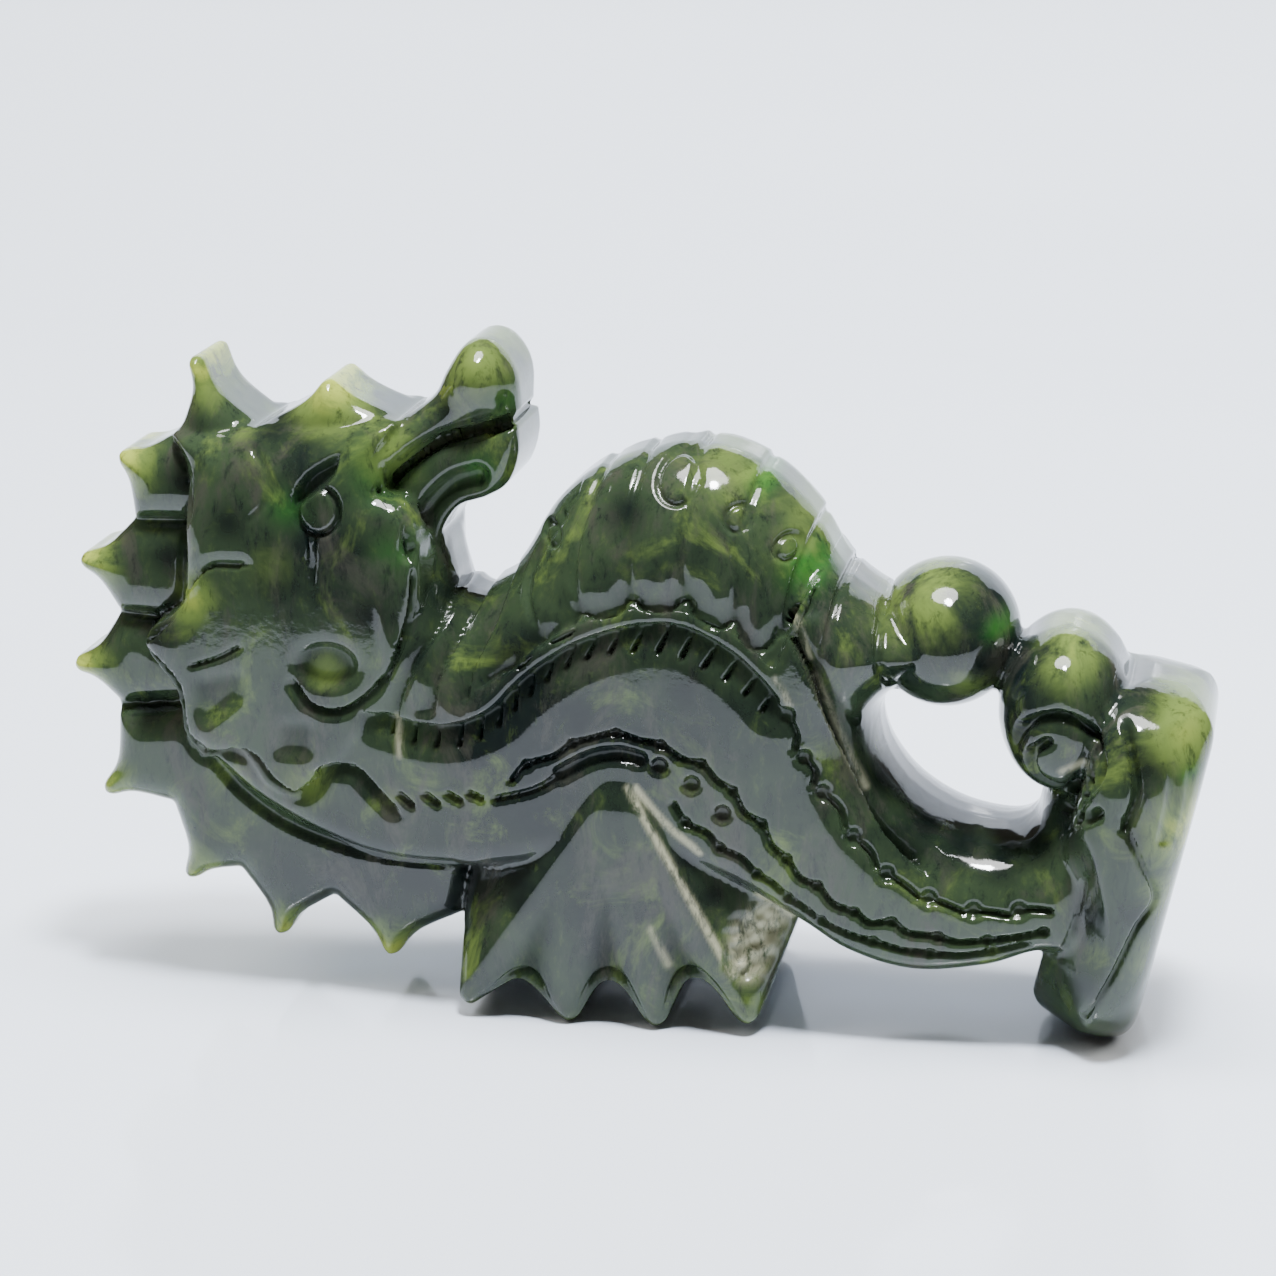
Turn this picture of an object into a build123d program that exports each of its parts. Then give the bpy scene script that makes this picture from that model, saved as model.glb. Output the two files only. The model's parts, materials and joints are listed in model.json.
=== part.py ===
from build123d import *
import math
import os

# A seahorse figurine, carved and polished from one slab of dark green jade. It
# lies on the fan fin of its back and on the edge of its own plinth.
# X runs from the mane to the plinth, Z is up, and Y is the slab's depth, with the
# carving the same on both faces. The origin is under the middle, on the surface.
# All sizes are in millimetres.

# ---- overall sizes ----
LENGTH = 97.8  # mane tip to the plinth's underside
HEIGHT = 57.3  # resting surface to the top of the nose

# ---- half thicknesses of the carved masses, each way from the middle plane ----
TRUNK_HALF = 10.5
BELLY_HALF = 10.0
HEAD_HALF = 9.0
SNOUT_HALF = 6.5
JAW_HALF = 6.0
CROWN_HALF = 5.5  # the five spikes round the head
NAPE_HALF = 7.0  # the four spikes down the neck
FIN_HALF = 11.0
BEAD_HALF = 8.5
COIL_HALF = 9.0

# ---- rounding of the rims ----
BODY_ROUND = 1.5
BELLY_ROUND = 1.5
HEAD_ROUND = 0.4
NOSE_ROUND = 0.5
SPIKE_TIP_R = 0.8
FLANK_HOLLOW = 0.5  # how far a spike's flank curves in from a straight line
FIN_TIP_R = 0.9
TIP_TURN = 55.0  # degrees that a tip's rounding turns each way
CROWN_SPIKES = 5  # of the nine, how many ring the head

# ---- eyes ----
EYE_R = 1.5
EYE_DEPTH = 1.2  # how deep the eye is let into the head
EYE_STAND = 0.2  # how far it stands proud

# ---- tail ----
BEAD_R = 6.3
BEAD_ROUND = 4.0
COIL_WIDE = 5.6  # half its width along the length
COIL_TALL = 7.3  # half its height
COIL_ROUND = 1.5

# ---- plinth: an oval slab, leaning as the figurine lies ----
PLINTH_X = 46.2  # the middle of its underside, along the length
PLINTH_TILT = 12.0  # degrees, its underside from the vertical
PLINTH_LONG = 31.0
PLINTH_DEEP = 24.0
PLINTH_THICK = 7.5
PLINTH_CORNER_R = 8.0
PLINTH_ROUND = 2.8

# The outlines below are drawn on the slab's face at these two sizes, and they
# stretch with LENGTH and HEIGHT.
DRAWN_LENGTH = 97.8
DRAWN_HEIGHT = 57.3
THROUGH = 40.0  # half depth of a cut that goes right through the slab


def drawn(*points):
    """Points of an outline, (x, z), stretched to the figurine's size."""
    across, up = LENGTH / DRAWN_LENGTH, HEIGHT / DRAWN_HEIGHT
    return [(x * across, z * up) for x, z in points]


# ---- outlines, as (x, z) ----
# The mane: nine tips, with the ten valleys they stand between. The first five
# ring the head, the other four run down the neck.
MANE_TIPS = drawn(
    (-25.0, 53.8), (-36.7, 55.6), (-43.8, 46.6), (-47.7, 37.1), (-48.9, 27.5),
    (-45.9, 16.5), (-38.7, 9.1), (-30.8, 4.3), (-20.9, 3.0),
)
MANE_VALLEYS = drawn(
    (-19.5, 50.3), (-31.9, 49.2), (-38.8, 48.5), (-43.1, 40.6), (-44.7, 32.3),
    (-44.7, 23.9), (-40.1, 15.8), (-34.2, 10.1), (-25.8, 8.1), (-14.2, 7.4),
)
# Where the spikes are rooted, inside the head and the neck: the saw line between
# two spikes runs from their valley to its root.
MANE_ROOTS = drawn(
    (-21.5, 47.0), (-31.0, 44.0), (-34.5, 44.0), (-34.5, 40.8), (-35.5, 31.8),
    (-34.5, 25.0), (-31.5, 22.0), (-27.4, 18.5), (-22.0, 16.0), (-13.0, 15.0),
)

HEAD_TOP = drawn((-19.5, 50.3), (-31.9, 49.2), (-38.8, 48.5))
HEAD_BACK = drawn(
    (-38.8, 48.5), (-37.1, 45.5), (-36.8, 41.0), (-37.4, 34.5), (-40.8, 31.2),
    (-38.3, 27.0), (-37.6, 23.3), (-36.2, 21.3),
)
MANE_WAVE = drawn(
    (-36.2, 21.3), (-32.8, 21.6), (-30.6, 18.9), (-27.9, 17.9), (-26.2, 20.3),
    (-24.0, 21.3),
)
CHEEK = drawn(
    (-24.0, 21.3), (-21.2, 25.2), (-18.7, 30.6), (-17.2, 35.5), (-17.1, 39.8),
    (-18.3, 43.4), (-20.6, 44.6),
)
MOUTH = drawn(
    (-20.6, 44.6), (-18.6, 46.4), (-15.7, 48.3), (-12.6, 49.4), (-9.4, 50.6),
)
SNOUT_TOP = drawn(
    (-9.4, 50.6), (-9.6, 54.2), (-10.9, 56.5), (-12.5, 57.3), (-14.1, 56.7),
    (-15.6, 54.5), (-16.9, 52.2), (-19.5, 50.3),
)
JAW_UNDER = drawn(
    (-9.4, 50.6), (-9.3, 48.0), (-10.2, 45.4), (-12.0, 44.1), (-14.4, 43.2),
    (-15.8, 41.3), (-16.4, 39.0),
)
BODY_FRONT = drawn(
    (-17.5, 43.0), (-15.7, 40.6), (-14.7, 37.6), (-12.7, 36.2), (-9.2, 39.0),
    (-5.7, 44.3), (-1.1, 48.6), (5.6, 50.0), (11.5, 48.6), (16.0, 44.6),
    (18.6, 40.0), (21.5, 37.6), (26.0, 34.5),
)
BODY_UNDER = drawn(
    (43.0, 9.6), (38.0, 8.9), (31.0, 6.8), (25.0, 6.3), (19.6, 7.8), (15.2, 10.6),
    (8.0, 14.0), (0.0, 15.5), (-8.0, 13.8), (-14.5, 12.7), (-21.0, 12.6),
    (-25.7, 14.0), (-29.4, 15.8), (-33.2, 18.1), (-36.3, 21.3), (-36.0, 27.0),
    (-29.0, 36.0), (-21.0, 41.5), (-17.5, 43.0),
)
NOTCH_LINE = drawn(
    (-22.0, 24.4), (-13.9, 24.6), (-9.6, 28.3), (-6.2, 31.5), (-2.8, 33.8),
    (1.4, 35.2), (5.5, 35.1), (9.4, 33.5), (12.0, 31.2),
)
BELLY_EDGE = drawn((12.0, 31.2), (13.6, 35.4), (15.6, 38.4), (18.2, 41.6))
BODY_CORNER = drawn((43.0, 27.0))[0]  # inside the coil and the plinth
BODY_OUTLINE = [
    BODY_FRONT, [BODY_FRONT[-1], BODY_CORNER], [BODY_CORNER, BODY_UNDER[0]], BODY_UNDER,
]
HOLE = drawn(
    (23.0, 30.5), (20.9, 27.0), (22.4, 22.2), (25.4, 18.2), (29.5, 15.7),
    (33.6, 15.7), (35.7, 18.2), (36.2, 22.6), (34.4, 31.0), (29.5, 34.0),
    (23.0, 30.5),
)
FIN_BACK = drawn(
    (0.3, 24.1), (-3.3, 23.3), (-6.0, 21.2), (-7.2, 17.9), (-10.4, 15.7),
    (-13.5, 13.9),
)
FIN_FRONT = drawn((15.4, 10.5), (11.3, 13.8), (6.7, 17.0), (2.8, 21.2), (0.3, 24.1))
FIN_TIPS = drawn((-12.7, 1.0), (-4.0, 0.0), (3.4, 0.2), (11.3, 1.5))
FIN_VALLEYS = drawn((-8.6, 3.3), (-0.5, 3.5), (6.8, 4.4))
FIN_LEFT = drawn((-13.9, 9.5))[0]
TAIL_SAW = drawn((12.0, 5.4), (27.3, 30.0))  # the line between the trunk and the tail
BEAD_AT = drawn((26.4, 34.0))[0]
COIL_AT = drawn((36.8, 28.7))[0]
EYE_AT = drawn((-25.6, 43.2))[0]


def block(half, rounding, *runs):
    """A block of the slab inside an outline, as deep as half each way from the
    middle plane, with the rims of its two faces rounded. Each run of points is a
    smooth curve if it has three or more and a straight line if it has two."""
    with BuildPart() as made:
        with BuildSketch(Plane.XZ):
            with BuildLine():
                for run in runs:
                    if len(run) > 2:
                        Spline(run)
                    else:
                        Line(run)
            make_face()
        extrude(amount=half, both=True)
        if rounding:
            fillet(rims(made, half), radius=rounding)
    return made.part


def rims(made, half):
    """The edges round the front and the back face of a block."""
    return made.edges().filter_by(lambda e: abs(abs(e.center().Y) - half) < 0.001)


def past_body(point):
    """A corner of a cutter, clear of the slab on the point's own side."""
    return point[0], HEIGHT + THROUGH


def tip_arc(tip, before, after, radius):
    """Start, middle and end of the rounding of a point that stands between two
    valleys, with its outermost point at the tip."""
    out_x = tip[0] - (before[0] + after[0]) / 2
    out_z = tip[1] - (before[1] + after[1]) / 2
    reach = math.hypot(out_x, out_z)
    out_x, out_z = out_x / reach, out_z / reach
    centre = (tip[0] - radius * out_x, tip[1] - radius * out_z)
    ends = []
    for turn in (TIP_TURN, -TIP_TURN):
        c, s = math.cos(math.radians(turn)), math.sin(math.radians(turn))
        along = (out_x * c - out_z * s, out_x * s + out_z * c)
        ends.append((centre[0] + radius * along[0], centre[1] + radius * along[1]))
    # The end that is nearer to the valley before comes first.
    ends.sort(key=lambda end: math.dist(end, before) - math.dist(end, after))
    return ends[0], tip, ends[1]


# ---- the head: its mane wave and its cheek are in the outline ----
HEAD_OUTLINE = [HEAD_TOP, HEAD_BACK, MANE_WAVE, CHEEK, [CHEEK[-1], HEAD_TOP[0]]]
head_cut = block(THROUGH, 0, *HEAD_OUTLINE)
with BuildPart() as head:
    add(block(HEAD_HALF, HEAD_ROUND, *HEAD_OUTLINE))
    for side in (1, -1):
        with BuildSketch(Plane.XZ.offset(side * HEAD_HALF)):
            with Locations(EYE_AT):
                Circle(EYE_R)
        extrude(amount=-side * EYE_DEPTH, mode=Mode.SUBTRACT)
head.part.label = "head"
pieces = [head.part]

# ---- the eyes: low studs that stand a little proud of their sockets ----
for name, side in (("eye_front", 1), ("eye_back", -1)):
    with BuildPart() as eye:
        with BuildSketch(Plane.XZ.offset(side * (HEAD_HALF - EYE_DEPTH))):
            with Locations(EYE_AT):
                Circle(EYE_R)
        extrude(amount=side * (EYE_DEPTH + EYE_STAND))
        outer = eye.faces().sort_by(Axis.Y)[0 if side > 0 else -1]
        chamfer(outer.edges(), length=EYE_STAND)
    eye.part.label = name
    pieces.append(eye.part)

# ---- the belly: its plates run from the throat over the hump ----
belly_cut = block(
    THROUGH, 0, NOTCH_LINE, BELLY_EDGE, [BELLY_EDGE[-1], past_body(BELLY_EDGE[-1])],
    [past_body(BELLY_EDGE[-1]), past_body(NOTCH_LINE[0])],
    [past_body(NOTCH_LINE[0]), NOTCH_LINE[0]],
)
with BuildPart() as belly:
    add(block(BELLY_HALF, BELLY_ROUND, *BODY_OUTLINE))
    add(belly_cut, mode=Mode.INTERSECT)
    add(head_cut, mode=Mode.SUBTRACT)
belly.part.label = "belly"
pieces.append(belly.part)

# ---- snout and lower jaw: the face between them is the mouth's cut ----
with BuildPart() as snout:
    add(block(SNOUT_HALF, NOSE_ROUND, MOUTH, SNOUT_TOP, [SNOUT_TOP[-1], MOUTH[0]]))
    add(head_cut, mode=Mode.SUBTRACT)
snout.part.label = "snout"
pieces.append(snout.part)

with BuildPart() as lower_jaw:
    add(block(JAW_HALF, 0, MOUTH, JAW_UNDER, [JAW_UNDER[-1], MOUTH[0]]))
    add(head_cut, mode=Mode.SUBTRACT)
    add(belly.part, mode=Mode.SUBTRACT)
lower_jaw.part.label = "lower_jaw"
pieces.append(lower_jaw.part)

# ---- the fan fin of the back, which the figurine lies on ----
with BuildPart() as dorsal_fin:
    with BuildSketch(Plane.XZ):
        with BuildLine():
            Spline(FIN_FRONT)
            Spline(FIN_BACK)
            Line(FIN_BACK[-1], FIN_LEFT)
            before = FIN_LEFT
            for at, tip in enumerate(FIN_TIPS):
                valleys = [FIN_LEFT, *FIN_VALLEYS, FIN_FRONT[0]]
                start, middle, end = tip_arc(tip, valleys[at], valleys[at + 1], FIN_TIP_R)
                if at == 0:
                    Line(before, start)
                else:
                    ThreePointArc(before, valleys[at], start)
                ThreePointArc(start, middle, end)
                before = end
            Line(before, FIN_FRONT[0])
        make_face()
    extrude(amount=FIN_HALF, both=True)
dorsal_fin.part.label = "dorsal_fin"
pieces.append(dorsal_fin.part)

# ---- plinth: an oval slab that stands on its lower end ----
lean = math.radians(PLINTH_TILT)
# The rounded lower end of the underside just touches the surface.
PLINTH_UP = (
    PLINTH_LONG / 2 * math.cos(lean)
    - PLINTH_ROUND * (math.cos(lean) + math.sin(lean) - 1)
)
underside = Plane(
    origin=(PLINTH_X * LENGTH / DRAWN_LENGTH, 0, PLINTH_UP),
    x_dir=(0, 1, 0),
    z_dir=(math.cos(lean), 0, -math.sin(lean)),
)
with BuildPart() as plinth:
    with BuildSketch(underside):
        RectangleRounded(PLINTH_DEEP, PLINTH_LONG, PLINTH_CORNER_R)
    extrude(amount=-PLINTH_THICK)
    flats = plinth.faces().filter_by(Axis(underside.origin, underside.z_dir))
    fillet(flats.edges(), radius=PLINTH_ROUND)
plinth.part.label = "plinth"
pieces.append(plinth.part)

# ---- the tail's bead and coil ----
bead_cut = Plane.XZ * extrude(Pos(*BEAD_AT) * Circle(BEAD_R), THROUGH, both=True)
with BuildPart() as tail_bead:
    with BuildSketch(Plane.XZ):
        with Locations(BEAD_AT):
            Circle(BEAD_R)
    extrude(amount=BEAD_HALF, both=True)
    fillet(rims(tail_bead, BEAD_HALF), radius=BEAD_ROUND)
tail_bead.part.label = "tail_bead"
pieces.append(tail_bead.part)

coil_cut = Plane.XZ * extrude(Pos(*COIL_AT) * Ellipse(COIL_WIDE, COIL_TALL), THROUGH, both=True)
with BuildPart() as tail_coil:
    with BuildSketch(Plane.XZ):
        with Locations(COIL_AT):
            Ellipse(COIL_WIDE, COIL_TALL)
    extrude(amount=COIL_HALF, both=True)
    fillet(rims(tail_coil, COIL_HALF), radius=COIL_ROUND)
    add(bead_cut, mode=Mode.SUBTRACT)
    add(plinth.part, mode=Mode.SUBTRACT)
tail_coil.part.label = "tail_coil"
pieces.append(tail_coil.part)

# ---- the trunk and the tail, which hold the loop's hole between them ----
hole_cut = block(THROUGH, 0, HOLE)
tail_end = (BODY_UNDER[0][0], TAIL_SAW[1][1])
tail_foot = (BODY_UNDER[0][0], -THROUGH)
tail_cut = block(
    THROUGH, 0, TAIL_SAW, [TAIL_SAW[1], tail_end], [tail_end, tail_foot],
    [tail_foot, (TAIL_SAW[0][0], -THROUGH)], [(TAIL_SAW[0][0], -THROUGH), TAIL_SAW[0]],
)
with BuildPart() as whole_body:
    add(block(TRUNK_HALF, BODY_ROUND, *BODY_OUTLINE))
    for cut in (head_cut, belly_cut, hole_cut, bead_cut, coil_cut):
        add(cut, mode=Mode.SUBTRACT)
    add(dorsal_fin.part, mode=Mode.SUBTRACT)
    add(plinth.part, mode=Mode.SUBTRACT)

with BuildPart() as trunk:
    add(whole_body.part)
    add(tail_cut, mode=Mode.SUBTRACT)
trunk.part.label = "trunk"
pieces.append(trunk.part)

with BuildPart() as tail:
    add(whole_body.part)
    add(tail_cut, mode=Mode.INTERSECT)
tail.part.label = "tail"
pieces.append(tail.part)

# ---- the mane: nine spikes, cut apart by saw lines from the valleys ----
for at, tip in enumerate(MANE_TIPS):
    half = CROWN_HALF if at < CROWN_SPIKES else NAPE_HALF
    first, last = MANE_VALLEYS[at], MANE_VALLEYS[at + 1]
    start, middle, end = tip_arc(tip, first, last, SPIKE_TIP_R)
    with BuildPart() as spike:
        with BuildSketch(Plane.XZ):
            with BuildLine():
                SagittaArc(first, start, FLANK_HOLLOW)
                ThreePointArc(start, middle, end)
                SagittaArc(end, last, FLANK_HOLLOW)
                Polyline(last, MANE_ROOTS[at + 1], MANE_ROOTS[at], first)
            make_face()
        extrude(amount=half, both=True)
        add(head.part, mode=Mode.SUBTRACT)
        add(trunk.part, mode=Mode.SUBTRACT)
        add(dorsal_fin.part, mode=Mode.SUBTRACT)
    spike.part.label = f"mane_spike_{at + 1}"
    pieces.append(spike.part)

os.makedirs("parts", exist_ok=True)
for piece in pieces:
    export_step(piece, f"parts/{piece.label}.step")
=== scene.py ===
# %% [markdown]
# # A jade seahorse, carved in Blender
#
# The object is one piece of dark green nephrite: a seahorse, cut from a slab, carved
# the same on both faces and polished. It lies on its back, on the tips of its fan fin
# and on the lower end of its plinth.
#
# A jade carver works in four steps, and so does this lesson. The outline is sawn out
# of the slab. The masses are roughed to different depths and their rims are rounded.
# The lines are cut with small wheels. Then the stone is polished.
#
# Two other ways were possible: a mesh pulled together face by face, which is slow to
# make smooth where so many forms run into each other, or multiresolution sculpting,
# which needs a hand at the mouse. Sawing, roughing and cutting in code keeps every
# depth and line a number that can be changed.

# %% Load the frame
import json
import math

import bmesh
import bpy
import numpy as np
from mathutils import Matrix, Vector

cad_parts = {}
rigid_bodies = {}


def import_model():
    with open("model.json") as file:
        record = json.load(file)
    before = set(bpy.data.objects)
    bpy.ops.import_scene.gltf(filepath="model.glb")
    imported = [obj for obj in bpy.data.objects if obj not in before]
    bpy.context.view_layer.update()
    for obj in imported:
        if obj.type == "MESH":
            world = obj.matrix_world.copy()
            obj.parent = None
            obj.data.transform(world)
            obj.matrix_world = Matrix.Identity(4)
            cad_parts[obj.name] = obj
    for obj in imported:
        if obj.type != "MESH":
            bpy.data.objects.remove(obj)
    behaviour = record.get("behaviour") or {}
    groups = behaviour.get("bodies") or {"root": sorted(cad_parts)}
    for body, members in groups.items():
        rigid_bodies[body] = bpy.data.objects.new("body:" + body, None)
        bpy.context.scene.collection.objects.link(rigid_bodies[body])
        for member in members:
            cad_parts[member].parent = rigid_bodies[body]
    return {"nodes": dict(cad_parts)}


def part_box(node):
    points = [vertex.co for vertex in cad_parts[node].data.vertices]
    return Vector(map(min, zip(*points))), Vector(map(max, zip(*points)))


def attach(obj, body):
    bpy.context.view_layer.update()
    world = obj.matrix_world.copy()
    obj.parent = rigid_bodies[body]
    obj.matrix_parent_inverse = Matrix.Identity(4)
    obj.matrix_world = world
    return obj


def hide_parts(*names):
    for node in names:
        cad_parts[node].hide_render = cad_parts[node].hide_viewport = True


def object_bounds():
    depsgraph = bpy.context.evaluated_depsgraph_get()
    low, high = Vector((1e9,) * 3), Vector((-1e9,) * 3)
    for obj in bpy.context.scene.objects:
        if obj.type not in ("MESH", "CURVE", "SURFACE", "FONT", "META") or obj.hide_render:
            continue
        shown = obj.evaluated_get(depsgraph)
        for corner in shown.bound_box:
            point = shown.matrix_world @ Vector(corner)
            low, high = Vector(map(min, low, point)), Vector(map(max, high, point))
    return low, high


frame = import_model()
CAD_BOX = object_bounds()
MM = 0.001
LEFT = CAD_BOX[0].x / MM
RIGHT = CAD_BOX[1].x / MM
TOP = CAD_BOX[1].z / MM
print("nodes:", len(frame["nodes"]))
print("box in mm:", [round(v / MM, 1) for v in (*CAD_BOX[0], *CAD_BOX[1])])

# %% [markdown]
# ## Lines on the slab
#
# Everything on this carving starts as a line drawn on the slab's face: the outlines
# and the cut lines. A line here is a few points in millimetres, x along the figurine
# and z up. `flow` runs a Catmull-Rom curve through them, the same idea as a curve
# object set to pass through its points, and gives it back as many short steps.

# %% A curve through a few points
STEP = 0.15


def flow(points, closed=False):
    """Many points, STEP apart, on a smooth curve through a few."""
    points = [np.array(p, float) for p in points]
    if len(points) == 2:
        count = max(2, int(np.linalg.norm(points[1] - points[0]) / STEP))
        ramp = np.linspace(0, 1, count)[:, None]
        return points[0] * (1 - ramp) + points[1] * ramp
    if closed:
        chain = [points[-1], *points, points[0], points[1]]
    else:
        chain = [2 * points[0] - points[1], *points, 2 * points[-1] - points[-2]]
    out = []
    for a, b, c, d in zip(chain, chain[1:], chain[2:], chain[3:]):
        count = max(2, int(np.linalg.norm(c - b) / STEP))
        t = np.linspace(0, 1, count, endpoint=False)[:, None]
        bend = 2 * b + (c - a) * t + (2 * a - 5 * b + 4 * c - d) * t**2
        out.append(0.5 * (bend + (3 * b - a - 3 * c + d) * t**3))
    if not closed:
        out.append(points[-1][None])
    return np.vstack(out)


def outline(*runs):
    """A closed outline of smooth runs that meet at corners."""
    return np.vstack([flow(run)[:-1] for run in runs])


def polygon(points):
    """A closed outline of straight edges."""
    return outline(*zip(points, points[1:] + points[:1]))


print("a run of three points becomes", len(flow([(0, 0), (5, 3), (10, 0)])), "steps")

# %% [markdown]
# ## The masses
#
# The silhouette is a sum of masses: head, snout, jaw, nine mane spikes, belly, trunk,
# fan fin, tail, bead, coil and plinth. Each has an outline, a half thickness from the
# slab's middle plane, and a rim: how far in from the outline the surface is rounded.
#
# The head comes first: a broad block with the snout and the jaw in front of it. Its
# outline is cut into runs where two masses meet, so that neighbours share a run and
# no gap can open between them. Curve objects could hold the outlines too, but lists
# of points can also steer the tools that come later.

# %% Outlines of the head
HEAD_TOP = [(-19.5, 50.3), (-31.9, 49.2), (-38.8, 48.5)]
HEAD_BACK = [
    (-38.8, 48.5), (-37.1, 45.5), (-36.8, 41.0), (-37.4, 34.5), (-40.8, 31.2),
    (-38.3, 27.0), (-37.6, 23.3), (-36.2, 21.3),
]
MANE_WAVE = [
    (-36.2, 21.3), (-32.8, 21.6), (-30.6, 18.9), (-27.9, 17.9), (-26.2, 20.3),
    (-24.0, 21.3),
]
CHEEK = [
    (-24.0, 21.3), (-21.2, 25.2), (-18.7, 30.6), (-17.2, 35.5), (-17.1, 39.8),
    (-18.3, 43.4), (-20.6, 44.6),
]
MOUTH = [(-20.6, 44.6), (-18.6, 46.4), (-15.7, 48.3), (-12.6, 49.4), (-9.4, 50.6)]
SNOUT_TOP = [
    (-9.4, 50.6), (-9.6, 54.2), (-10.9, 56.5), (-12.5, 57.3), (-14.1, 56.7),
    (-15.6, 54.5), (-16.9, 52.2), (-19.5, 50.3),
]
JAW_UNDER = [
    (-9.4, 50.6), (-9.3, 48.0), (-10.2, 45.4), (-12.0, 44.1), (-14.4, 43.2),
    (-15.8, 41.3), (-16.4, 39.0),
]
print("mouth:", len(flow(MOUTH)), "steps")

# %% [markdown]
# ## The mane
#
# A row of nine spikes stands round the crown and down the neck. On the stone each is
# two hollow flanks, ground with the round edge of a wheel, that meet in a small
# rounded tip. Nine drawn outlines would never match each other, so one function makes
# them all from a tip and the valleys on each side of it.

# %% Outlines of the mane
# Nine tips, with the ten valleys between them and a root inside the head or neck
# for each valley.
MANE_TIPS = [
    (-25.6, 53.5), (-37.4, 55.0), (-44.4, 46.2), (-48.3, 36.7), (-49.2, 27.2),
    (-46.3, 16.2), (-39.0, 8.7), (-31.0, 3.9), (-21.1, 2.7),
]
MANE_VALLEYS = [
    (-19.5, 50.3), (-31.9, 49.2), (-38.8, 48.5), (-43.1, 40.6), (-44.7, 32.3),
    (-44.7, 23.9), (-40.1, 15.8), (-34.2, 10.1), (-25.8, 8.1), (-14.2, 7.4),
]
MANE_ROOTS = [
    (-21.5, 47.0), (-31.0, 44.0), (-34.5, 44.0), (-34.5, 40.8), (-35.5, 31.8),
    (-34.5, 25.0), (-31.5, 22.0), (-27.4, 18.5), (-22.0, 16.0), (-13.0, 15.0),
]
TIP_R = 0.8
HOLLOW = 0.12


def spike_runs(tip, before, after):
    """Two hollow flanks that meet in a rounded tip."""
    tip, before, after = (np.array(p, float) for p in (tip, before, after))
    out = tip - (before + after) / 2
    out /= np.linalg.norm(out)
    centre = tip - TIP_R * out
    flanks = []
    for valley in (before, after):
        side = valley - centre
        side -= out * side.dot(out)
        side /= np.linalg.norm(side)
        touch = centre + TIP_R * (0.5 * out + 0.87 * side)
        inward = HOLLOW * np.linalg.norm(touch - valley) * side
        flanks.append((valley, 0.55 * touch + 0.45 * valley - inward, touch))
    first, last = flanks
    return [first, (first[2], tip, last[2]), last[::-1]]


def spikes_outline(first, last):
    """The outline of a run of spikes, closed through their roots."""
    runs = []
    for number in range(first, last + 1):
        runs += spike_runs(MANE_TIPS[number], MANE_VALLEYS[number], MANE_VALLEYS[number + 1])
    ends = [MANE_VALLEYS[last + 1], *MANE_ROOTS[first:last + 2][::-1], MANE_VALLEYS[first]]
    return outline(*runs, *zip(ends, ends[1:]))


print("spikes:", len(MANE_TIPS))

# %% [markdown]
# ## Body, fin and tail
#
# The body is one S: up over the belly's hump, down, and back up round the open loop of
# the tail. The fan fin spreads below it, the tail ends in a ball and a coil, and the
# plinth stands across the end. The plinth leans, so its outline is drawn upright in
# its own two directions, `up` and `out`, and set in place with the frame's own box.

# %% Outlines of the body
BODY_FRONT = [
    (-17.5, 43.0), (-15.9, 40.4), (-15.1, 37.2), (-13.2, 35.6), (-9.7, 38.4),
    (-6.3, 43.8), (-1.8, 47.3), (5.2, 49.1), (10.8, 47.7), (15.3, 43.8),
    (17.6, 39.7), (20.3, 37.2), (26.0, 34.5),
]
TAIL_LOOP = [
    (23.6, 30.0), (21.3, 27.8), (21.1, 25.4), (22.2, 22.6), (24.6, 19.9),
    (28.2, 18.0), (32.2, 17.5), (34.2, 18.7), (34.8, 20.8), (36.0, 23.0),
]
BODY_UNDER = [
    (44.5, 8.2), (38.0, 8.6), (35.0, 8.5), (31.0, 7.1), (25.0, 6.4), (19.6, 7.8),
    (15.2, 10.4), (8.0, 14.0), (0.0, 15.5), (-8.0, 13.8), (-14.5, 12.7),
    (-21.0, 12.6), (-25.7, 14.0), (-29.4, 15.8), (-33.2, 18.1), (-36.3, 21.3),
    (-36.0, 27.0), (-29.0, 36.0), (-21.0, 41.5), (-17.5, 43.0),
]
print("body:", len(flow(BODY_FRONT)) + len(flow(BODY_UNDER)), "steps")

# %% Outline of the fin
FIN_BACK = [
    (0.3, 24.1), (-3.3, 23.3), (-6.0, 21.2), (-7.2, 17.9), (-10.4, 15.7),
    (-13.5, 13.9),
]
FIN_FRONT = [(15.4, 10.5), (11.3, 13.8), (6.7, 17.0), (2.8, 21.2), (0.3, 24.1)]
FIN_TIPS = [(-12.6, 0.9), (-4.1, 0.0), (3.4, 0.1), (11.2, 0.9)]
FIN_VALLEYS = [(-8.4, 3.6), (-0.5, 4.0), (6.9, 4.8)]
FIN_LEFT = (-13.9, 9.5)
FIN_TIP_WIDE, FIN_TIP_TALL = 1.0, 0.65


def fin_edge():
    """The fin's lower edge: four rounded tips with round scallops between them."""
    runs = [(FIN_BACK[-1], FIN_LEFT)]
    at = FIN_LEFT
    for number, (x, z) in enumerate(FIN_TIPS):
        ends = (
            (x - FIN_TIP_WIDE, z + FIN_TIP_TALL), (x, z), (x + FIN_TIP_WIDE, z + FIN_TIP_TALL),
        )
        if number == 0:
            runs.append((at, ends[0]))
        else:
            valley = FIN_VALLEYS[number - 1]
            low = ((at[0] + 1.3 * valley[0]) / 2.3, valley[1] - 0.75)
            high = ((ends[0][0] + 1.3 * valley[0]) / 2.3, valley[1] - 0.75)
            runs.append((at, low, valley, high, ends[0]))
        runs.append(ends)
        at = ends[-1]
    runs.append((at, FIN_FRONT[0]))
    return runs


print("fin edge:", len(fin_edge()), "runs")

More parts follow.
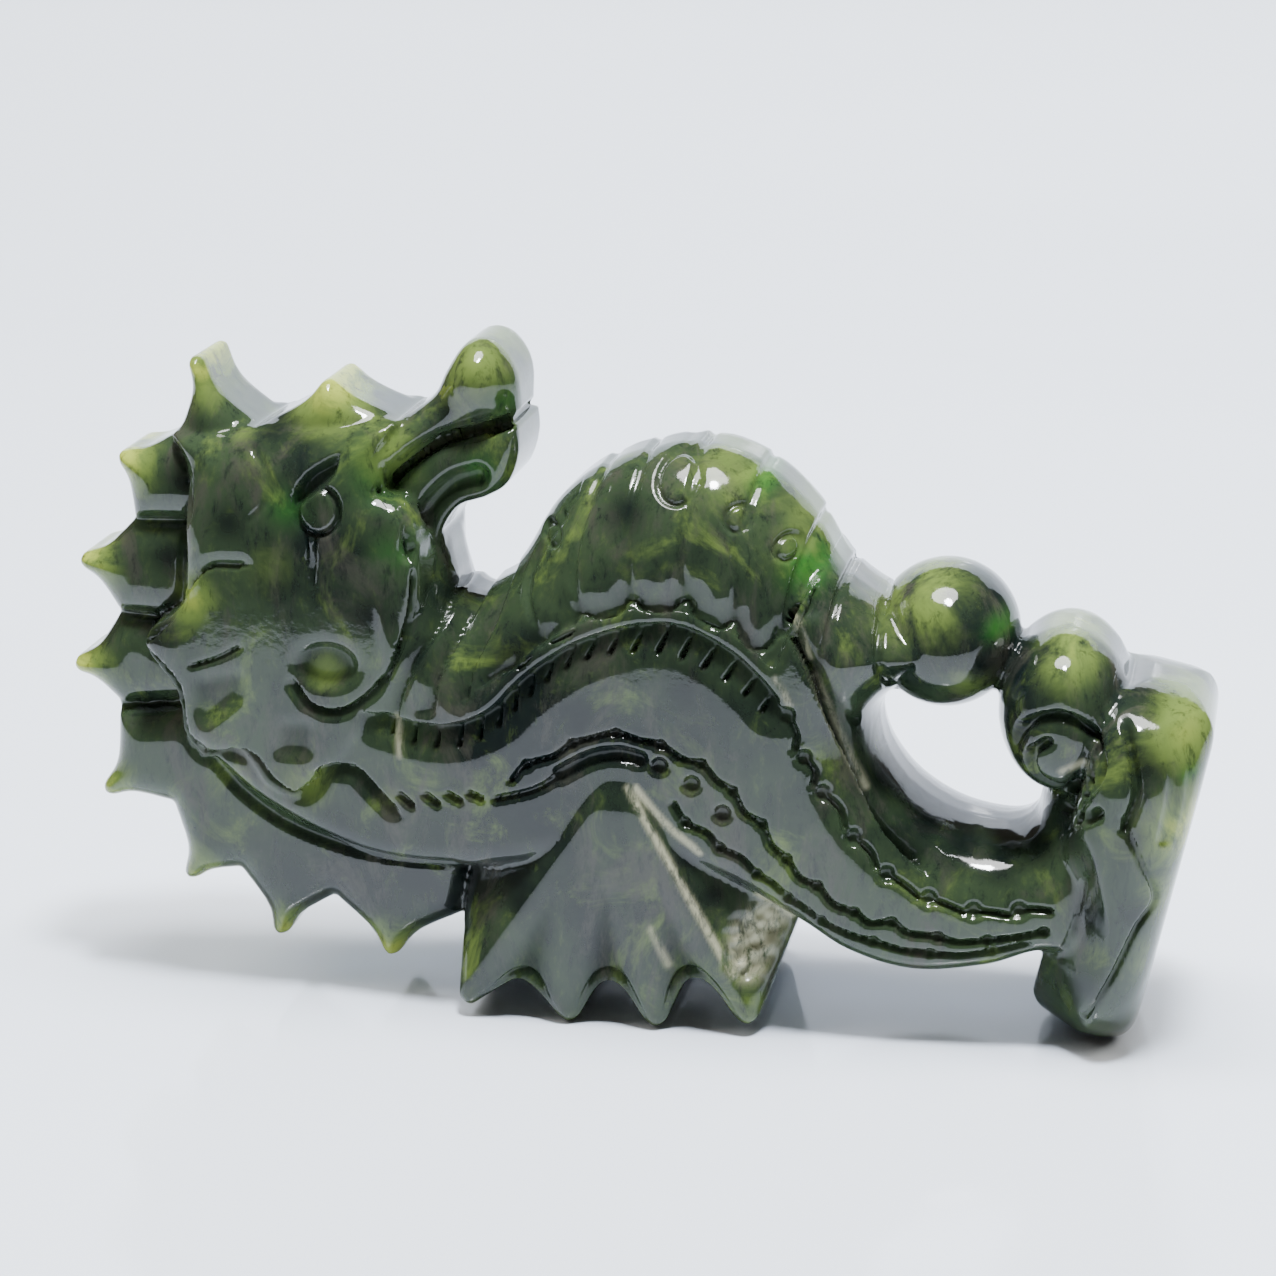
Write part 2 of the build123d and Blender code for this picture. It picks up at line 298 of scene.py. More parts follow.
# %% Outlines of the ball, the coil and the plinth
BEAD_AT, BEAD_R = (26.3, 33.4), 6.15
COIL_AT, COIL_WIDE, COIL_TALL = (36.4, 28.1), 5.5, 6.9
PLINTH_TILT = math.radians(12.0)
PLINTH_LONG, PLINTH_THICK, PLINTH_CORNER = 31.0, 9.0, 8.0
PLINTH_UP = np.array([math.sin(PLINTH_TILT), math.cos(PLINTH_TILT)])
PLINTH_OUT = np.array([math.cos(PLINTH_TILT), -math.sin(PLINTH_TILT)])


def round_outline(centre, wide, tall):
    """An ellipse."""
    turn = np.linspace(0, 2 * math.pi, 160, endpoint=False)
    return np.stack([centre[0] + wide * np.cos(turn), centre[1] + tall * np.sin(turn)], 1)


def plinth_place():
    """The middle of the plinth's underside, worked out from the frame's own box."""
    low, high = (Vector(p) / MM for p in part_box("plinth"))
    lean_x = PLINTH_LONG / 2 * math.sin(PLINTH_TILT)
    return high.x - lean_x + 0.5, (low.z + high.z) / 2 - 0.8


def plinth_outline():
    """The plinth from the side: a slab on its edge, with rounded corners."""
    at = np.array(plinth_place())
    points = []
    for side_up, side_out, start in ((1, 0, 0), (1, -1, 90), (-1, -1, 180), (-1, 0, 270)):
        r = 3.0 if side_up < 0 else 3.4
        shift = -r if side_out == 0 else r
        corner = at + PLINTH_UP * side_up * (PLINTH_LONG / 2 - r)
        corner = corner + PLINTH_OUT * (shift + side_out * PLINTH_THICK)
        for turn in range(0, 91, 10):
            a = math.radians(start + turn)
            points.append(corner + r * (PLINTH_OUT * math.cos(a) + PLINTH_UP * math.sin(a)))
    return outline(*[(points[i - 1], points[i]) for i in range(len(points))])


print("plinth at", [round(v, 1) for v in plinth_place()])

# %% All the outlines by name
BODY = outline(
    BODY_FRONT, (BODY_FRONT[-1], TAIL_LOOP[0]), TAIL_LOOP, (TAIL_LOOP[-1], (40.0, 26.0)),
    ((40.0, 26.0), (45.0, 24.0)), ((45.0, 24.0), BODY_UNDER[0]), BODY_UNDER,
)
SHAPES = {
    "body": BODY,
    "head": outline(HEAD_TOP, HEAD_BACK, MANE_WAVE, CHEEK, (CHEEK[-1], HEAD_TOP[0])),
    "snout": outline(MOUTH, SNOUT_TOP, (SNOUT_TOP[-1], (-22.0, 48.0)), ((-22.0, 48.0), MOUTH[0])),
    "jaw": outline(MOUTH, JAW_UNDER, (JAW_UNDER[-1], (-21.0, 40.0)), ((-21.0, 40.0), MOUTH[0])),
    "fin": outline(FIN_FRONT, FIN_BACK, *fin_edge()),
    "bead": round_outline(BEAD_AT, BEAD_R, BEAD_R),
    "coil": round_outline(COIL_AT, COIL_WIDE, COIL_TALL),
    "plinth": plinth_outline(),
}
# The first five spikes stand alone; the other four are the edge of one comb.
for number in range(5):
    SHAPES[f"spike {number + 1}"] = spikes_outline(number, number)
SHAPES["comb"] = spikes_outline(5, 8)
print("masses:", len(SHAPES))

# %% [markdown]
# ## The drawing board
#
# A carver keeps the drawing on the slab while roughing out. Here the drawing is a
# board: a grid of numbers over the slab's face, one every 0.1 mm. Two tools work on
# it. `inside` fills an outline, row by row, and `near` says how far each place is
# from a line, by stamping a disc at every step along it. With those two, the depth of
# the stone can be written as one map, and cut lines are subtracted from that map.
#
# A texture painted by hand would hold the same map, but then the depths could no
# longer be changed by changing a number.

# %% The board
CELL = 0.1
MARGIN = 3.0
BOARD_LOW = np.array([LEFT - MARGIN, -MARGIN])
COLUMNS = int((RIGHT - LEFT + 2 * MARGIN) / CELL)
ROWS = int((TOP + 2 * MARGIN) / CELL)
BOARD_X = BOARD_LOW[0] + CELL * np.arange(COLUMNS)[None, :]
BOARD_Z = BOARD_LOW[1] + CELL * np.arange(ROWS)[:, None]
X_ALL = np.broadcast_to(BOARD_X, (ROWS, COLUMNS))
Z_ALL = np.broadcast_to(BOARD_Z, (ROWS, COLUMNS))
print("board:", COLUMNS, "by", ROWS)


# %% Fill an outline, and measure from a line
def disc(x, z, span):
    """The rows and columns of the board round a place."""
    column = int(round((x - BOARD_LOW[0]) / CELL))
    row = int(round((z - BOARD_LOW[1]) / CELL))
    rows = slice(max(0, row - span), max(0, row + span + 1))
    columns = slice(max(0, column - span), max(0, column + span + 1))
    return rows, columns


def inside(loop):
    """True on the board inside a closed outline."""
    mask = np.zeros((ROWS, COLUMNS), bool)
    spots = (loop - BOARD_LOW) / CELL
    for (x0, z0), (x1, z1) in zip(spots, np.roll(spots, -1, axis=0)):
        if z0 == z1:
            continue
        for row in range(math.ceil(min(z0, z1)), math.ceil(max(z0, z1))):
            if 0 <= row < ROWS:
                start = x0 + (row - z0) * (x1 - x0) / (z1 - z0)
                mask[row, max(0, math.ceil(start)):] ^= True
    return mask


def near(line, reach):
    """Distance on the board from a line, up to reach."""
    far = np.full((ROWS, COLUMNS), reach, np.float32)
    span = int(reach / CELL) + 1
    for x, z in line:
        rows, columns = disc(x, z, span)
        gap = np.hypot(BOARD_X[:, columns] - x, BOARD_Z[rows] - z)
        far[rows, columns] = np.minimum(far[rows, columns], gap)
    return far


print("the ball covers", int(inside(SHAPES["bead"]).sum()), "squares of the board")


# %% Ease, soften and look up
def ease(values, low, high):
    """0 below low, 1 above high and a smooth rise between them."""
    t = np.clip((values - low) / (high - low), 0, 1)
    return t * t * (3 - 2 * t)


def soften(board, radius):
    """The board, blurred by three passes of a box of this radius in millimetres."""
    size = max(1, int(radius / CELL))
    for axis in (0, 1) * 3:
        padded = np.concatenate([
            np.repeat(np.take(board, [0], axis), size, axis), board,
            np.repeat(np.take(board, [-1], axis), size, axis),
        ], axis)
        total = np.cumsum(padded, axis, dtype=np.float64)
        total = np.insert(total, 0, 0, axis)
        width = 2 * size + 1
        count = board.shape[axis]
        upper = np.take(total, range(width, width + count), axis)
        board = (upper - np.take(total, range(count), axis)) / width
    return board


def look_up(board, x, z):
    """Values of the board at places between its grid points."""
    u = np.clip((x - BOARD_LOW[0]) / CELL, 0, COLUMNS - 1.001)
    v = np.clip((z - BOARD_LOW[1]) / CELL, 0, ROWS - 1.001)
    i, j = u.astype(int), v.astype(int)
    s, t = u - i, v - j
    below = board[j, i] * (1 - s) + board[j, i + 1] * s
    above = board[j + 1, i] * (1 - s) + board[j + 1, i + 1] * s
    return below * (1 - t) + above * t


print("halfway up the ease:", ease(0.5, 0, 1))

# %% [markdown]
# ## Depth of each mass
#
# A mass is full depth in its middle and falls away at its rim along a quarter of an
# ellipse: `wide` in from the outline and `deep` down from the face. A wide rim makes a
# pillow, as on the belly, and a narrow one a crisp step, as at the cheek. Where two
# masses overlap, the one that stands higher shows, as it does on the stone.
#
# The other way is a Bevel modifier on each mass, but a bevel has one width all round,
# and these rims are wide at the crown and narrow at the cheek.

# %% Round the rim of a mass
SKIRT = 0.35


def pillow(name, half, wide, deep):
    """Half thickness of a mass over the board, and zero outside its outline. A thin
    skirt round it, as deep as the rim, keeps the sawn edge full."""
    rim = near(SHAPES[name], float(np.max(wide)) + 0.3)
    t = np.clip(1 - rim / wide, 0, 1)
    depth = half - deep * (1 - np.sqrt(1 - t * t))
    within = inside(SHAPES[name])
    skirt = (rim < SKIRT) & ~within
    return np.where(within, depth, np.where(skirt, half - deep, 0.0))


def fall(line, wide, deep):
    """How far the stone falls away beside one line of an outline."""
    t = np.clip(1 - near(flow(line), wide) / wide, 0, 1)
    return deep * (1 - np.sqrt(1 - t * t))


print("ball, deepest:", float(pillow("bead", 7.8, 4.0, 4.0).max()), "mm")

# %% Depth of the trunk and the belly
NOTCH_LINE = [
    (-19.0, 25.4), (-14.9, 25.6), (-11.6, 27.8), (-8.4, 31.2), (-5.2, 33.9),
    (-1.2, 36.0), (3.2, 36.8), (7.4, 36.3), (10.6, 34.6), (13.2, 32.4),
]
BELLY_EDGE = [*NOTCH_LINE, (14.2, 35.2), (15.8, 38.6), (17.9, 42.0)]
BELLY_HALF = 10.0


def body_depth():
    """The trunk, thickest at the hump, with the rounder belly laid over it."""
    neck = ease(X_ALL, -30, -6)
    toward_tail = ease(X_ALL, 16, 40)
    trunk_half = 8.3 + 2.1 * neck - 0.9 * toward_tail
    belly_zone = inside(outline(
        BELLY_EDGE, (BELLY_EDGE[-1], (24.0, 60.0)), ((24.0, 60.0), (-24.0, 60.0)),
        ((-24.0, 60.0), BELLY_EDGE[0]),
    ))
    trunk = pillow("body", trunk_half, 2.2, 2.0)
    slope = np.maximum(fall(TAIL_LOOP, 6.5, 8.0), fall(BODY_FRONT[-4:], 6.0, 7.4))
    slope = np.maximum(slope, fall(BODY_FRONT[1:4], 3.0, 3.2))
    trunk -= (trunk > 0) * np.minimum(slope, np.clip(trunk - 0.8, 0, None))
    belly = pillow("body", np.full_like(X_ALL, BELLY_HALF), 9.0, 8.6)
    share = np.clip(soften(belly_zone.astype(float), 0.15), 0, 1)
    return trunk * (1 - share) + np.minimum(belly, trunk_half + 0.2) * share


print("body, deepest:", round(float(body_depth().max()), 2), "mm")


# %% Depth of the head and the mane
def head_depths():
    """The head, its snout with a bulb at the nose, the jaw and the spikes."""
    upper = ease(Z_ALL, 41, 49)
    back = ease(-X_ALL, 33, 37)
    head_wide = 1.1 + 3.4 * upper + 1.2 * back * (1 - upper)
    head = pillow("head", 9.1 - 1.2 * ease(Z_ALL, 40, 50), head_wide, 0.9 + 1.9 * upper)
    bulb = np.exp(-(((X_ALL + 12.6) / 3.5) ** 2 + ((Z_ALL - 54.5) / 3.0) ** 2))
    bridge = 2.4 * ease(-X_ALL, 14.5, 20.5)
    snout = pillow("snout", 5.2 + 1.4 * bulb + bridge, 3.2, 3.4 + bridge)
    jaw = pillow("jaw", np.full_like(X_ALL, 5.4), 1.6, 1.6)
    spikes = [pillow(f"spike {number}", 5.6, 2.8, 2.7) for number in range(1, 6)]
    comb = pillow("comb", 6.6 + 0.5 * ease(Z_ALL, 4, 14), 2.6, 2.8)
    return [head, snout, jaw, *spikes, comb]


print("head and mane:", len(head_depths()), "masses")


# %% Depth of the fin
def fan():
    """The fin: a proud front plane between two edges that fall away to facets."""
    plate = pillow("fin", 10.9, 1.3, 1.2)
    apex_left, low_left = np.array((-0.9, 21.0)), np.array((-12.9, 3.0))
    apex_right, low_right = np.array((0.8, 21.9)), np.array((10.9, 3.2))
    slopes = []
    for top, low, side, steep in (
        (apex_left, low_left, -1, 0.95), (apex_right, low_right, 1, 0.55),
    ):
        along = (low - top) / np.linalg.norm(low - top)
        across = side * ((X_ALL - top[0]) * -along[1] + (Z_ALL - top[1]) * along[0])
        slopes.append(steep * np.clip(across, 0, None))
    plate = np.where(plate > 0, plate - np.maximum(*slopes), 0)
    above = ease(Z_ALL, 19, 25)
    return plate - 1.2 * above * (plate > 0)


print("fin, deepest:", round(float(fan().max()), 2), "mm")

# %% Depth of the ball, the coil and the plinth
BEAD_HALF = 7.8
PLINTH_HALF = 12.0


def bead_depth():
    """A flattened ball."""
    r = np.hypot(X_ALL - BEAD_AT[0], Z_ALL - BEAD_AT[1]) / BEAD_R
    return BEAD_HALF * np.sqrt(np.clip(1 - r**2, 0, 1))


def plinth_depth():
    """The plinth is an oval seen from its underside, so its depth drops at its ends."""
    x, z = plinth_place()
    along = (X_ALL - x) * math.sin(PLINTH_TILT) + (Z_ALL - z) * math.cos(PLINTH_TILT)
    beyond = np.clip(np.abs(along) - (PLINTH_LONG / 2 - PLINTH_CORNER), 0, PLINTH_CORNER)
    half = PLINTH_HALF - PLINTH_CORNER + np.sqrt(PLINTH_CORNER**2 - beyond**2)
    rim = near(SHAPES["plinth"], 3.2)
    t = np.clip(1 - rim / 2.8, 0, 1)
    within = inside(SHAPES["plinth"]) | (rim < SKIRT)
    out = (X_ALL - x) * math.cos(PLINTH_TILT) - (Z_ALL - z) * math.sin(PLINTH_TILT)
    drop = 2.6 * (1 - np.sqrt(1 - t * t))
    toward_base = np.clip(1 + out / 5.0, 0, 1)
    drop = np.maximum(drop, 5.5 * (1 - np.sqrt(1 - toward_base**2)))
    flare = 5.2 * ease(-along, -9.0, 6.0)
    drop = np.maximum(drop, 0.95 * (flare - out - PLINTH_THICK) * (flare > 0))
    return np.where(within, np.clip(half - drop, 1.0, None), 0)


print("plinth, deepest:", round(float(plinth_depth().max()), 2), "mm")

# %% The highest mass shows
stone_depth = body_depth()
for mass in (*head_depths(), fan(), bead_depth(), pillow("coil", 9.2, 4.2, 7.6), plinth_depth()):
    stone_depth = np.maximum(stone_depth, mass)
print("depth map:", stone_depth.shape, "deepest", round(float(stone_depth.max()), 2), "mm")

# %% [markdown]
# ## Cut lines
#
# The lines are cut with small wheels and points. A wheel leaves a groove with a
# rounded bottom, so each cut here has a width and a depth and its own round profile.
# Cuts made only on the two faces go on one map, `face_cuts`. Those that run on over
# the rounded top, such as the belly's plates, go on `wrap_cuts`.
#
# Displacement textures or real Boolean cutters would do it too. A map of numbers is
# quicker than forty cutters, and grooves that meet don't leave slivers.

# %% Two maps of cuts
face_cuts = np.zeros((ROWS, COLUMNS), np.float32)
wrap_cuts = np.zeros((ROWS, COLUMNS), np.float32)
rough_map = np.zeros((ROWS, COLUMNS), np.float32)


def cut(board, line, width, depth):
    """Press a groove along a line into a map of cuts."""
    reach = width / 2
    t = np.clip(1 - near(line, reach) / reach, 0, 1)
    np.maximum(board, depth * (1 - (1 - t) ** 2), out=board)


def step_beside(board, line, width, depth, side):
    """A cut that is sheer on the line and fades out to one side of it: +1 is to the
    left of the line's direction, -1 to the right."""
    line = np.asarray(line)
    gap = near(line, width)
    signed = np.zeros((ROWS, COLUMNS), bool)
    heading = np.gradient(line, axis=0)
    span = int(width / CELL) + 1
    best = np.full((ROWS, COLUMNS), width + 1.0, np.float32)
    for (x, z), (dx, dz) in zip(line, heading):
        rows, columns = disc(x, z, span)
        ox, oz = BOARD_X[:, columns] - x, BOARD_Z[rows] - z
        here = np.hypot(ox, oz)
        closer = here < best[rows, columns]
        turned = side * (dx * oz - dz * ox) > 0
        signed[rows, columns] = np.where(closer, turned, signed[rows, columns])
        best[rows, columns] = np.where(closer, here, best[rows, columns])
    fade = np.clip(1 - gap / width, 0, 1) ** 2
    np.maximum(board, np.where(signed, depth * fade, 0), out=board)


def ring(centre, radius):
    """A circle as a line."""
    return round_outline(centre, radius, radius)


print("a drill's ring:", len(ring((0, 0), 1.0)), "steps")

# %% [markdown]
# ## The face
#
# The mouth runs back from the nose in one long S and hooks down at the cheek. The eye
# is a tube drill's ring under a leaf-shaped brow, and the cheek ends in a curl round
# a drilled hollow. Each is a line or a filled outline on the map. Modelled as meshes
# they would have to be fitted to the head's surface one by one.

# %% Cuts of the mouth, the eye and the brow
MOUTH_CUT = [
    (-9.2, 50.9), (-12.6, 49.6), (-15.3, 48.9), (-17.8, 47.6), (-19.6, 46.0),
    (-20.4, 44.9),
]
cut(face_cuts, flow(MOUTH_CUT), 1.3, 1.2)
cut(wrap_cuts, flow([(-8.9, 50.9), (-10.4, 50.4), (-11.6, 49.9)]), 1.0, 0.7)
JAW_HOLLOW = [(-12.6, 46.0), (-14.6, 45.2), (-16.6, 43.0), (-17.3, 40.4)]
cut(face_cuts, flow(JAW_HOLLOW), 2.6, 1.1)
EYE_AT = (-25.5, 43.4)
EYE_RING = [
    (-27.2, 43.7), (-26.8, 44.7), (-25.6, 45.3), (-24.2, 44.8), (-23.6, 43.5),
    (-23.9, 42.2), (-25.0, 41.4), (-26.3, 41.6), (-27.1, 42.6),
]
cut(face_cuts, flow(EYE_RING, closed=True), 0.75, 0.65)
BROW_TOP = [(-27.7, 43.2), (-27.5, 44.9), (-26.3, 46.6), (-24.9, 47.6), (-23.6, 48.2)]
BROW_LOW = [(-23.6, 48.2), (-24.0, 46.2), (-25.4, 44.9), (-27.1, 43.5)]
brow = outline(BROW_TOP, BROW_LOW, ((-27.1, 43.5), (-27.7, 43.2)))
brow_depth = np.clip(near(brow, 1.0) / 0.5, 0, 1) ** 0.7
np.maximum(face_cuts, np.where(inside(brow), 1.15 * brow_depth, 0), out=face_cuts)
TEAR_X = -25.95
for lean in (-0.33, 0.33):
    tear = [(TEAR_X + 1.3 * lean, 41.3), (TEAR_X + 0.8 * lean, 39.3), (TEAR_X, 37.0)]
    cut(face_cuts, flow(tear), 0.45, 0.5)
print("mouth and eye, deepest:", round(float(face_cuts.max()), 2), "mm")

# %% Cuts of the cheek, the jaw and the crown's base
CHEEK_CURL = [
    (-17.4, 38.0), (-17.9, 34.5), (-19.4, 30.4), (-21.7, 27.6), (-24.0, 26.3),
    (-26.2, 26.6), (-27.5, 28.3),
]
step_beside(face_cuts, flow(CHEEK_CURL[::-1]), 1.1, 1.1, -1)
CURL_HOLLOW = round_outline((-24.9, 30.1), 2.1, 1.35)
HOLLOW_WIDE = 1.4
hollow = np.clip(1 - near(CURL_HOLLOW, HOLLOW_WIDE) / HOLLOW_WIDE, 0, 1)
hollow = np.where(inside(CURL_HOLLOW), 1.0, np.clip(hollow * 1.6 - 0.6, 0, 1))
np.maximum(face_cuts, 0.9 * soften(hollow, 0.25).astype(np.float32), out=face_cuts)
# Two shallow hollows in the jaw, left dull: their weaker reflection is painted dark reflection.
JAW_DENTS = (
    [(-36.5, 28.2), (-32.3, 29.2), (-32.8, 26.6), (-36.0, 23.9), (-36.6, 25.6)],
    [(-28.9, 24.8), (-26.3, 25.0), (-26.6, 21.9), (-29.4, 22.0)],
)
for dent_corners in JAW_DENTS:
    dent = inside(polygon(dent_corners)).astype(float)
    np.maximum(face_cuts, 0.42 * soften(dent, 0.35).astype(np.float32), out=face_cuts)
# The fold behind the cheek, like a leaf, with a small hollow beside it.
CHEEK_FOLD = [
    (-40.9, 31.0), (-39.4, 32.2), (-37.9, 34.2), (-36.4, 36.6), (-34.6, 38.0),
    (-32.2, 38.2),
]
step_beside(face_cuts, flow(CHEEK_FOLD), 1.4, 0.75, 1)
cut(face_cuts, flow([(-36.6, 29.4), (-34.4, 30.2), (-32.6, 31.2)]), 0.55, 0.45)
cut(face_cuts, flow([(-31.2, 42.4), (-29.7, 44.2), (-29.8, 46.2), (-31.2, 48.0)]), 0.9, 0.18)
# Where the crown's spikes leave the head.
CROWN_BASE = [
    (-38.6, 47.6), (-37.3, 45.4), (-37.1, 42.8), (-37.9, 40.3), (-38.2, 37.2),
    (-38.6, 34.2), (-40.6, 32.2),
]
cut(face_cuts, flow(CROWN_BASE), 1.5, 0.5)
print("face cuts on", round(float((face_cuts > 0.02).mean()) * 100, 1), "% of the board")

# %% [markdown]
# ## The mane's edges and the throat
#
# The mane is set off by steps: a sheer cut on the line, with the stone sloping back
# up to one side. `step_beside` makes them. On the throat the same step, run over the
# rounded rim, makes plates that lap like roof tiles.

# %% Cuts of the mane and neck
MANE_EDGE = [
    (-41.0, 30.6), (-39.2, 29.2), (-37.9, 27.4), (-37.6, 25.4), (-37.4, 23.4),
    (-36.3, 21.6), (-34.6, 21.7), (-32.8, 22.2), (-31.2, 21.6), (-29.8, 19.8),
    (-28.1, 18.7), (-26.7, 19.4), (-25.5, 21.0), (-24.1, 21.3), (-22.5, 21.1),
    (-21.0, 19.7), (-19.4, 18.2),
]
step_beside(face_cuts, flow(MANE_EDGE), 1.9, 0.85, -1)
COMB_EDGE = [
    (-36.6, 21.4), (-34.8, 19.3), (-33.2, 17.6), (-31.2, 16.1), (-29.3, 15.0),
    (-27.1, 14.1), (-24.5, 13.3), (-21.8, 12.7), (-18.3, 12.3), (-14.5, 12.3),
]
cut(face_cuts, flow(COMB_EDGE), 0.8, 0.55)
step_beside(face_cuts, flow(COMB_EDGE), 2.4, 0.7, 1)
# Four short nicks in a row, the first at NICK_FROM.
NICK_FROM = (-18.2, 18.7)
for at, lean in ((NICK_FROM[0], -0.2), (-15.9, -0.1), (-13.9, 0.1), (-12.0, 0.25)):
    low = NICK_FROM[1] + (at - NICK_FROM[0]) * 0.13
    cut(face_cuts, flow([(at - 0.45, low + 0.35), (at + 0.55, low - 0.25 + lean)]), 0.7, 0.6)
THROAT_PLATES = [
    [(-14.3, 36.3), (-15.3, 33.6), (-17.0, 30.8), (-18.3, 28.0), (-19.0, 25.6)],
    [(-12.2, 36.6), (-13.4, 33.4), (-14.8, 30.2), (-15.6, 26.9)],
    [(-9.9, 38.2), (-10.9, 34.2), (-12.1, 30.9), (-12.6, 28.1)],
]
for line in THROAT_PLATES:
    step_beside(wrap_cuts, flow(line), 2.0, 0.75, -1)
    cut(wrap_cuts, flow(line), 0.6, 0.35)
print("throat plates:", len(THROAT_PLATES))

# %% [markdown]
# ## The belly
#
# Plates fan out over the hump, and each ends in a scallop that laps the trunk. Bosses
# are drilled on top: a ring cut with a tube drill leaves a dome inside. The plates'
# lines wrap over the top, so they go on the second map, and the scallops lie flat on
# the face. A ridge, cut sheer on one side, falls from the hump along the open loop.

# %% Cuts of the belly
SCALLOPS = [
    [(-10.6, 29.7), (-9.3, 30.7), (-7.6, 31.4), (-6.4, 33.4)],
    [(-6.4, 33.4), (-5.0, 33.5), (-3.6, 34.2), (-3.1, 35.9)],
    [(-3.1, 35.9), (-1.6, 35.7), (0.2, 36.1), (1.3, 37.3)],
    [(1.3, 37.3), (2.8, 36.6), (4.6, 36.7), (6.0, 37.5)],
    [(6.0, 37.5), (6.9, 36.1), (8.6, 35.3), (9.9, 35.9)],
    [(9.9, 35.9), (10.8, 34.2), (12.4, 33.6), (13.9, 35.2)],
]
for line in SCALLOPS:
    step_beside(face_cuts, flow(line), 2.6, 0.75, 1)
BELLY_PLATES = [
    [(-6.4, 33.4), (-8.0, 36.8), (-7.4, 39.6), (-5.2, 43.2)],
    [(-3.1, 35.9), (-3.7, 39.3), (-3.3, 43.0), (-1.9, 47.8)],
    [(1.3, 37.3), (1.1, 40.0), (0.9, 43.6), (1.6, 49.4)],
    [(6.0, 37.5), (5.5, 40.4), (5.6, 43.0), (6.2, 50.2)],
    [(9.9, 35.9), (10.0, 39.0), (9.9, 42.0), (11.6, 48.8)],
    [(13.9, 35.2), (14.4, 38.4), (15.2, 41.2), (16.6, 44.4)],
]
for line in BELLY_PLATES:
    cut(wrap_cuts, flow(line), 0.9, 0.34)
    step_beside(wrap_cuts, flow(line), 1.8, 0.22, -1)
BOSSES = (
    ((4.7, 47.0), 1.75), ((9.9, 44.3), 1.0), ((13.9, 41.8), 0.95), ((-6.2, 41.6), 0.8),
)
for centre, radius in BOSSES:
    cut(wrap_cuts, ring(centre, radius), 0.65, 0.42)
print("plates:", len(BELLY_PLATES), "bosses:", len(BOSSES))

# %% Cuts of the ridge beside the loop
RIDGE = [
    (17.6, 43.0), (17.0, 40.4), (15.6, 38.2), (14.2, 36.4), (15.0, 34.0), (16.5, 31.0),
    (17.7, 28.0), (19.1, 24.6), (20.6, 21.4), (22.4, 18.4), (24.6, 16.2),
]
step_beside(face_cuts, flow(RIDGE), 2.7, 1.9, 1)
BESIDE_RIDGE = [
    (19.4, 41.0), (18.2, 38.4), (17.6, 35.6), (17.0, 33.0), (18.2, 29.6), (19.6, 27.4),
]
cut(wrap_cuts, flow(BESIDE_RIDGE), 0.8, 0.4)
print("ridge:", len(flow(RIDGE)), "steps")

# %% [markdown]
# ## The trunk
#
# A row of notches follows the trunk's front edge, then goes on as single nicks. Two
# rippled lines run side by side down the back, from the neck to the plinth. The
# notches are spread evenly by stepping along two lines at once, an upper and a lower,
# and cutting across from one to the other, as a ladder's rungs join its rails.

# %% Cuts of the notches and nicks
NOTCH_TOP = [
    (-20.2, 25.9), (-17.4, 25.4), (-14.9, 25.3), (-12.7, 25.9), (-10.3, 27.3),
    (-8.4, 29.4), (-6.4, 31.2), (-3.6, 33.1), (-0.9, 34.3), (2.2, 35.2), (5.7, 35.2),
    (9.3, 33.5), (11.8, 31.4), (13.4, 29.6),
]
NOTCH_LOW = [
    (-20.1, 23.6), (-17.7, 23.1), (-15.5, 22.9), (-13.0, 23.1), (-10.3, 24.6),
    (-8.0, 27.0), (-5.9, 29.2), (-3.2, 31.1), (0.1, 31.9), (4.2, 31.8), (8.0, 30.6),
    (10.6, 29.0), (12.2, 27.6),
]
top, low = flow(NOTCH_TOP), flow(NOTCH_LOW)
cut(face_cuts, top, 0.8, 0.95)
step_beside(face_cuts, top, 3.4, 1.05, -1)
for share in np.linspace(0.02, 0.99, 19):
    a = top[int(share * (len(top) - 1))]
    b = low[int(share * (len(low) - 1))]
    cut(face_cuts, flow([a, a * 0.35 + b * 0.65]), 0.55, 1.25)
NICKS = [
    [(14.4, 28.4), (15.2, 26.7), (15.1, 25.5)], [(15.9, 24.8), (16.8, 23.6), (16.7, 22.5)],
    [(17.4, 21.8), (18.9, 20.4), (19.3, 18.9)], [(20.0, 18.1), (21.4, 16.9), (21.9, 15.7)],
    [(22.8, 15.1), (24.3, 14.2), (25.4, 13.3)], [(26.3, 13.2), (28.0, 12.6), (29.2, 12.1)],
    [(30.0, 12.3), (31.6, 12.2), (33.0, 12.0)], [(33.7, 12.5), (35.0, 12.7), (36.2, 12.6)],
]
for nick in NICKS:
    cut(face_cuts, flow(nick), 0.75, 0.75)
    cut(face_cuts, ring(nick[0], 0.2), 1.3, 0.7)
print("nicks:", len(NICKS))

# %% Cuts of the ripples
RIPPLE_LONG = [
    (-8.8, 21.3), (-7.5, 22.8), (-5.1, 23.7), (-3.5, 24.9), (-2.0, 25.4), (0.1, 26.0),
    (2.1, 25.5), (3.9, 25.2), (5.7, 24.1), (7.3, 23.8), (8.6, 22.4), (9.9, 21.6),
    (10.9, 19.8), (12.4, 18.9), (13.2, 17.1), (14.5, 16.0), (15.6, 14.4), (17.1, 13.8),
    (18.4, 12.3), (20.2, 11.7), (21.5, 10.8), (23.3, 11.0), (24.7, 10.1), (27.1, 9.9),
    (28.8, 9.5), (31.2, 9.8), (33.6, 10.2), (35.8, 10.8),
]
RIPPLE_SHORT = [
    (5.0, 20.2), (6.0, 18.6), (7.8, 17.8), (8.9, 16.6), (10.7, 15.8), (12.0, 14.5),
    (13.3, 13.8), (14.6, 12.6), (16.1, 11.7), (17.4, 10.7), (19.7, 9.7), (21.8, 9.2),
    (24.0, 8.6), (26.5, 8.4), (29.0, 8.3), (31.7, 8.8), (34.5, 9.5),
]
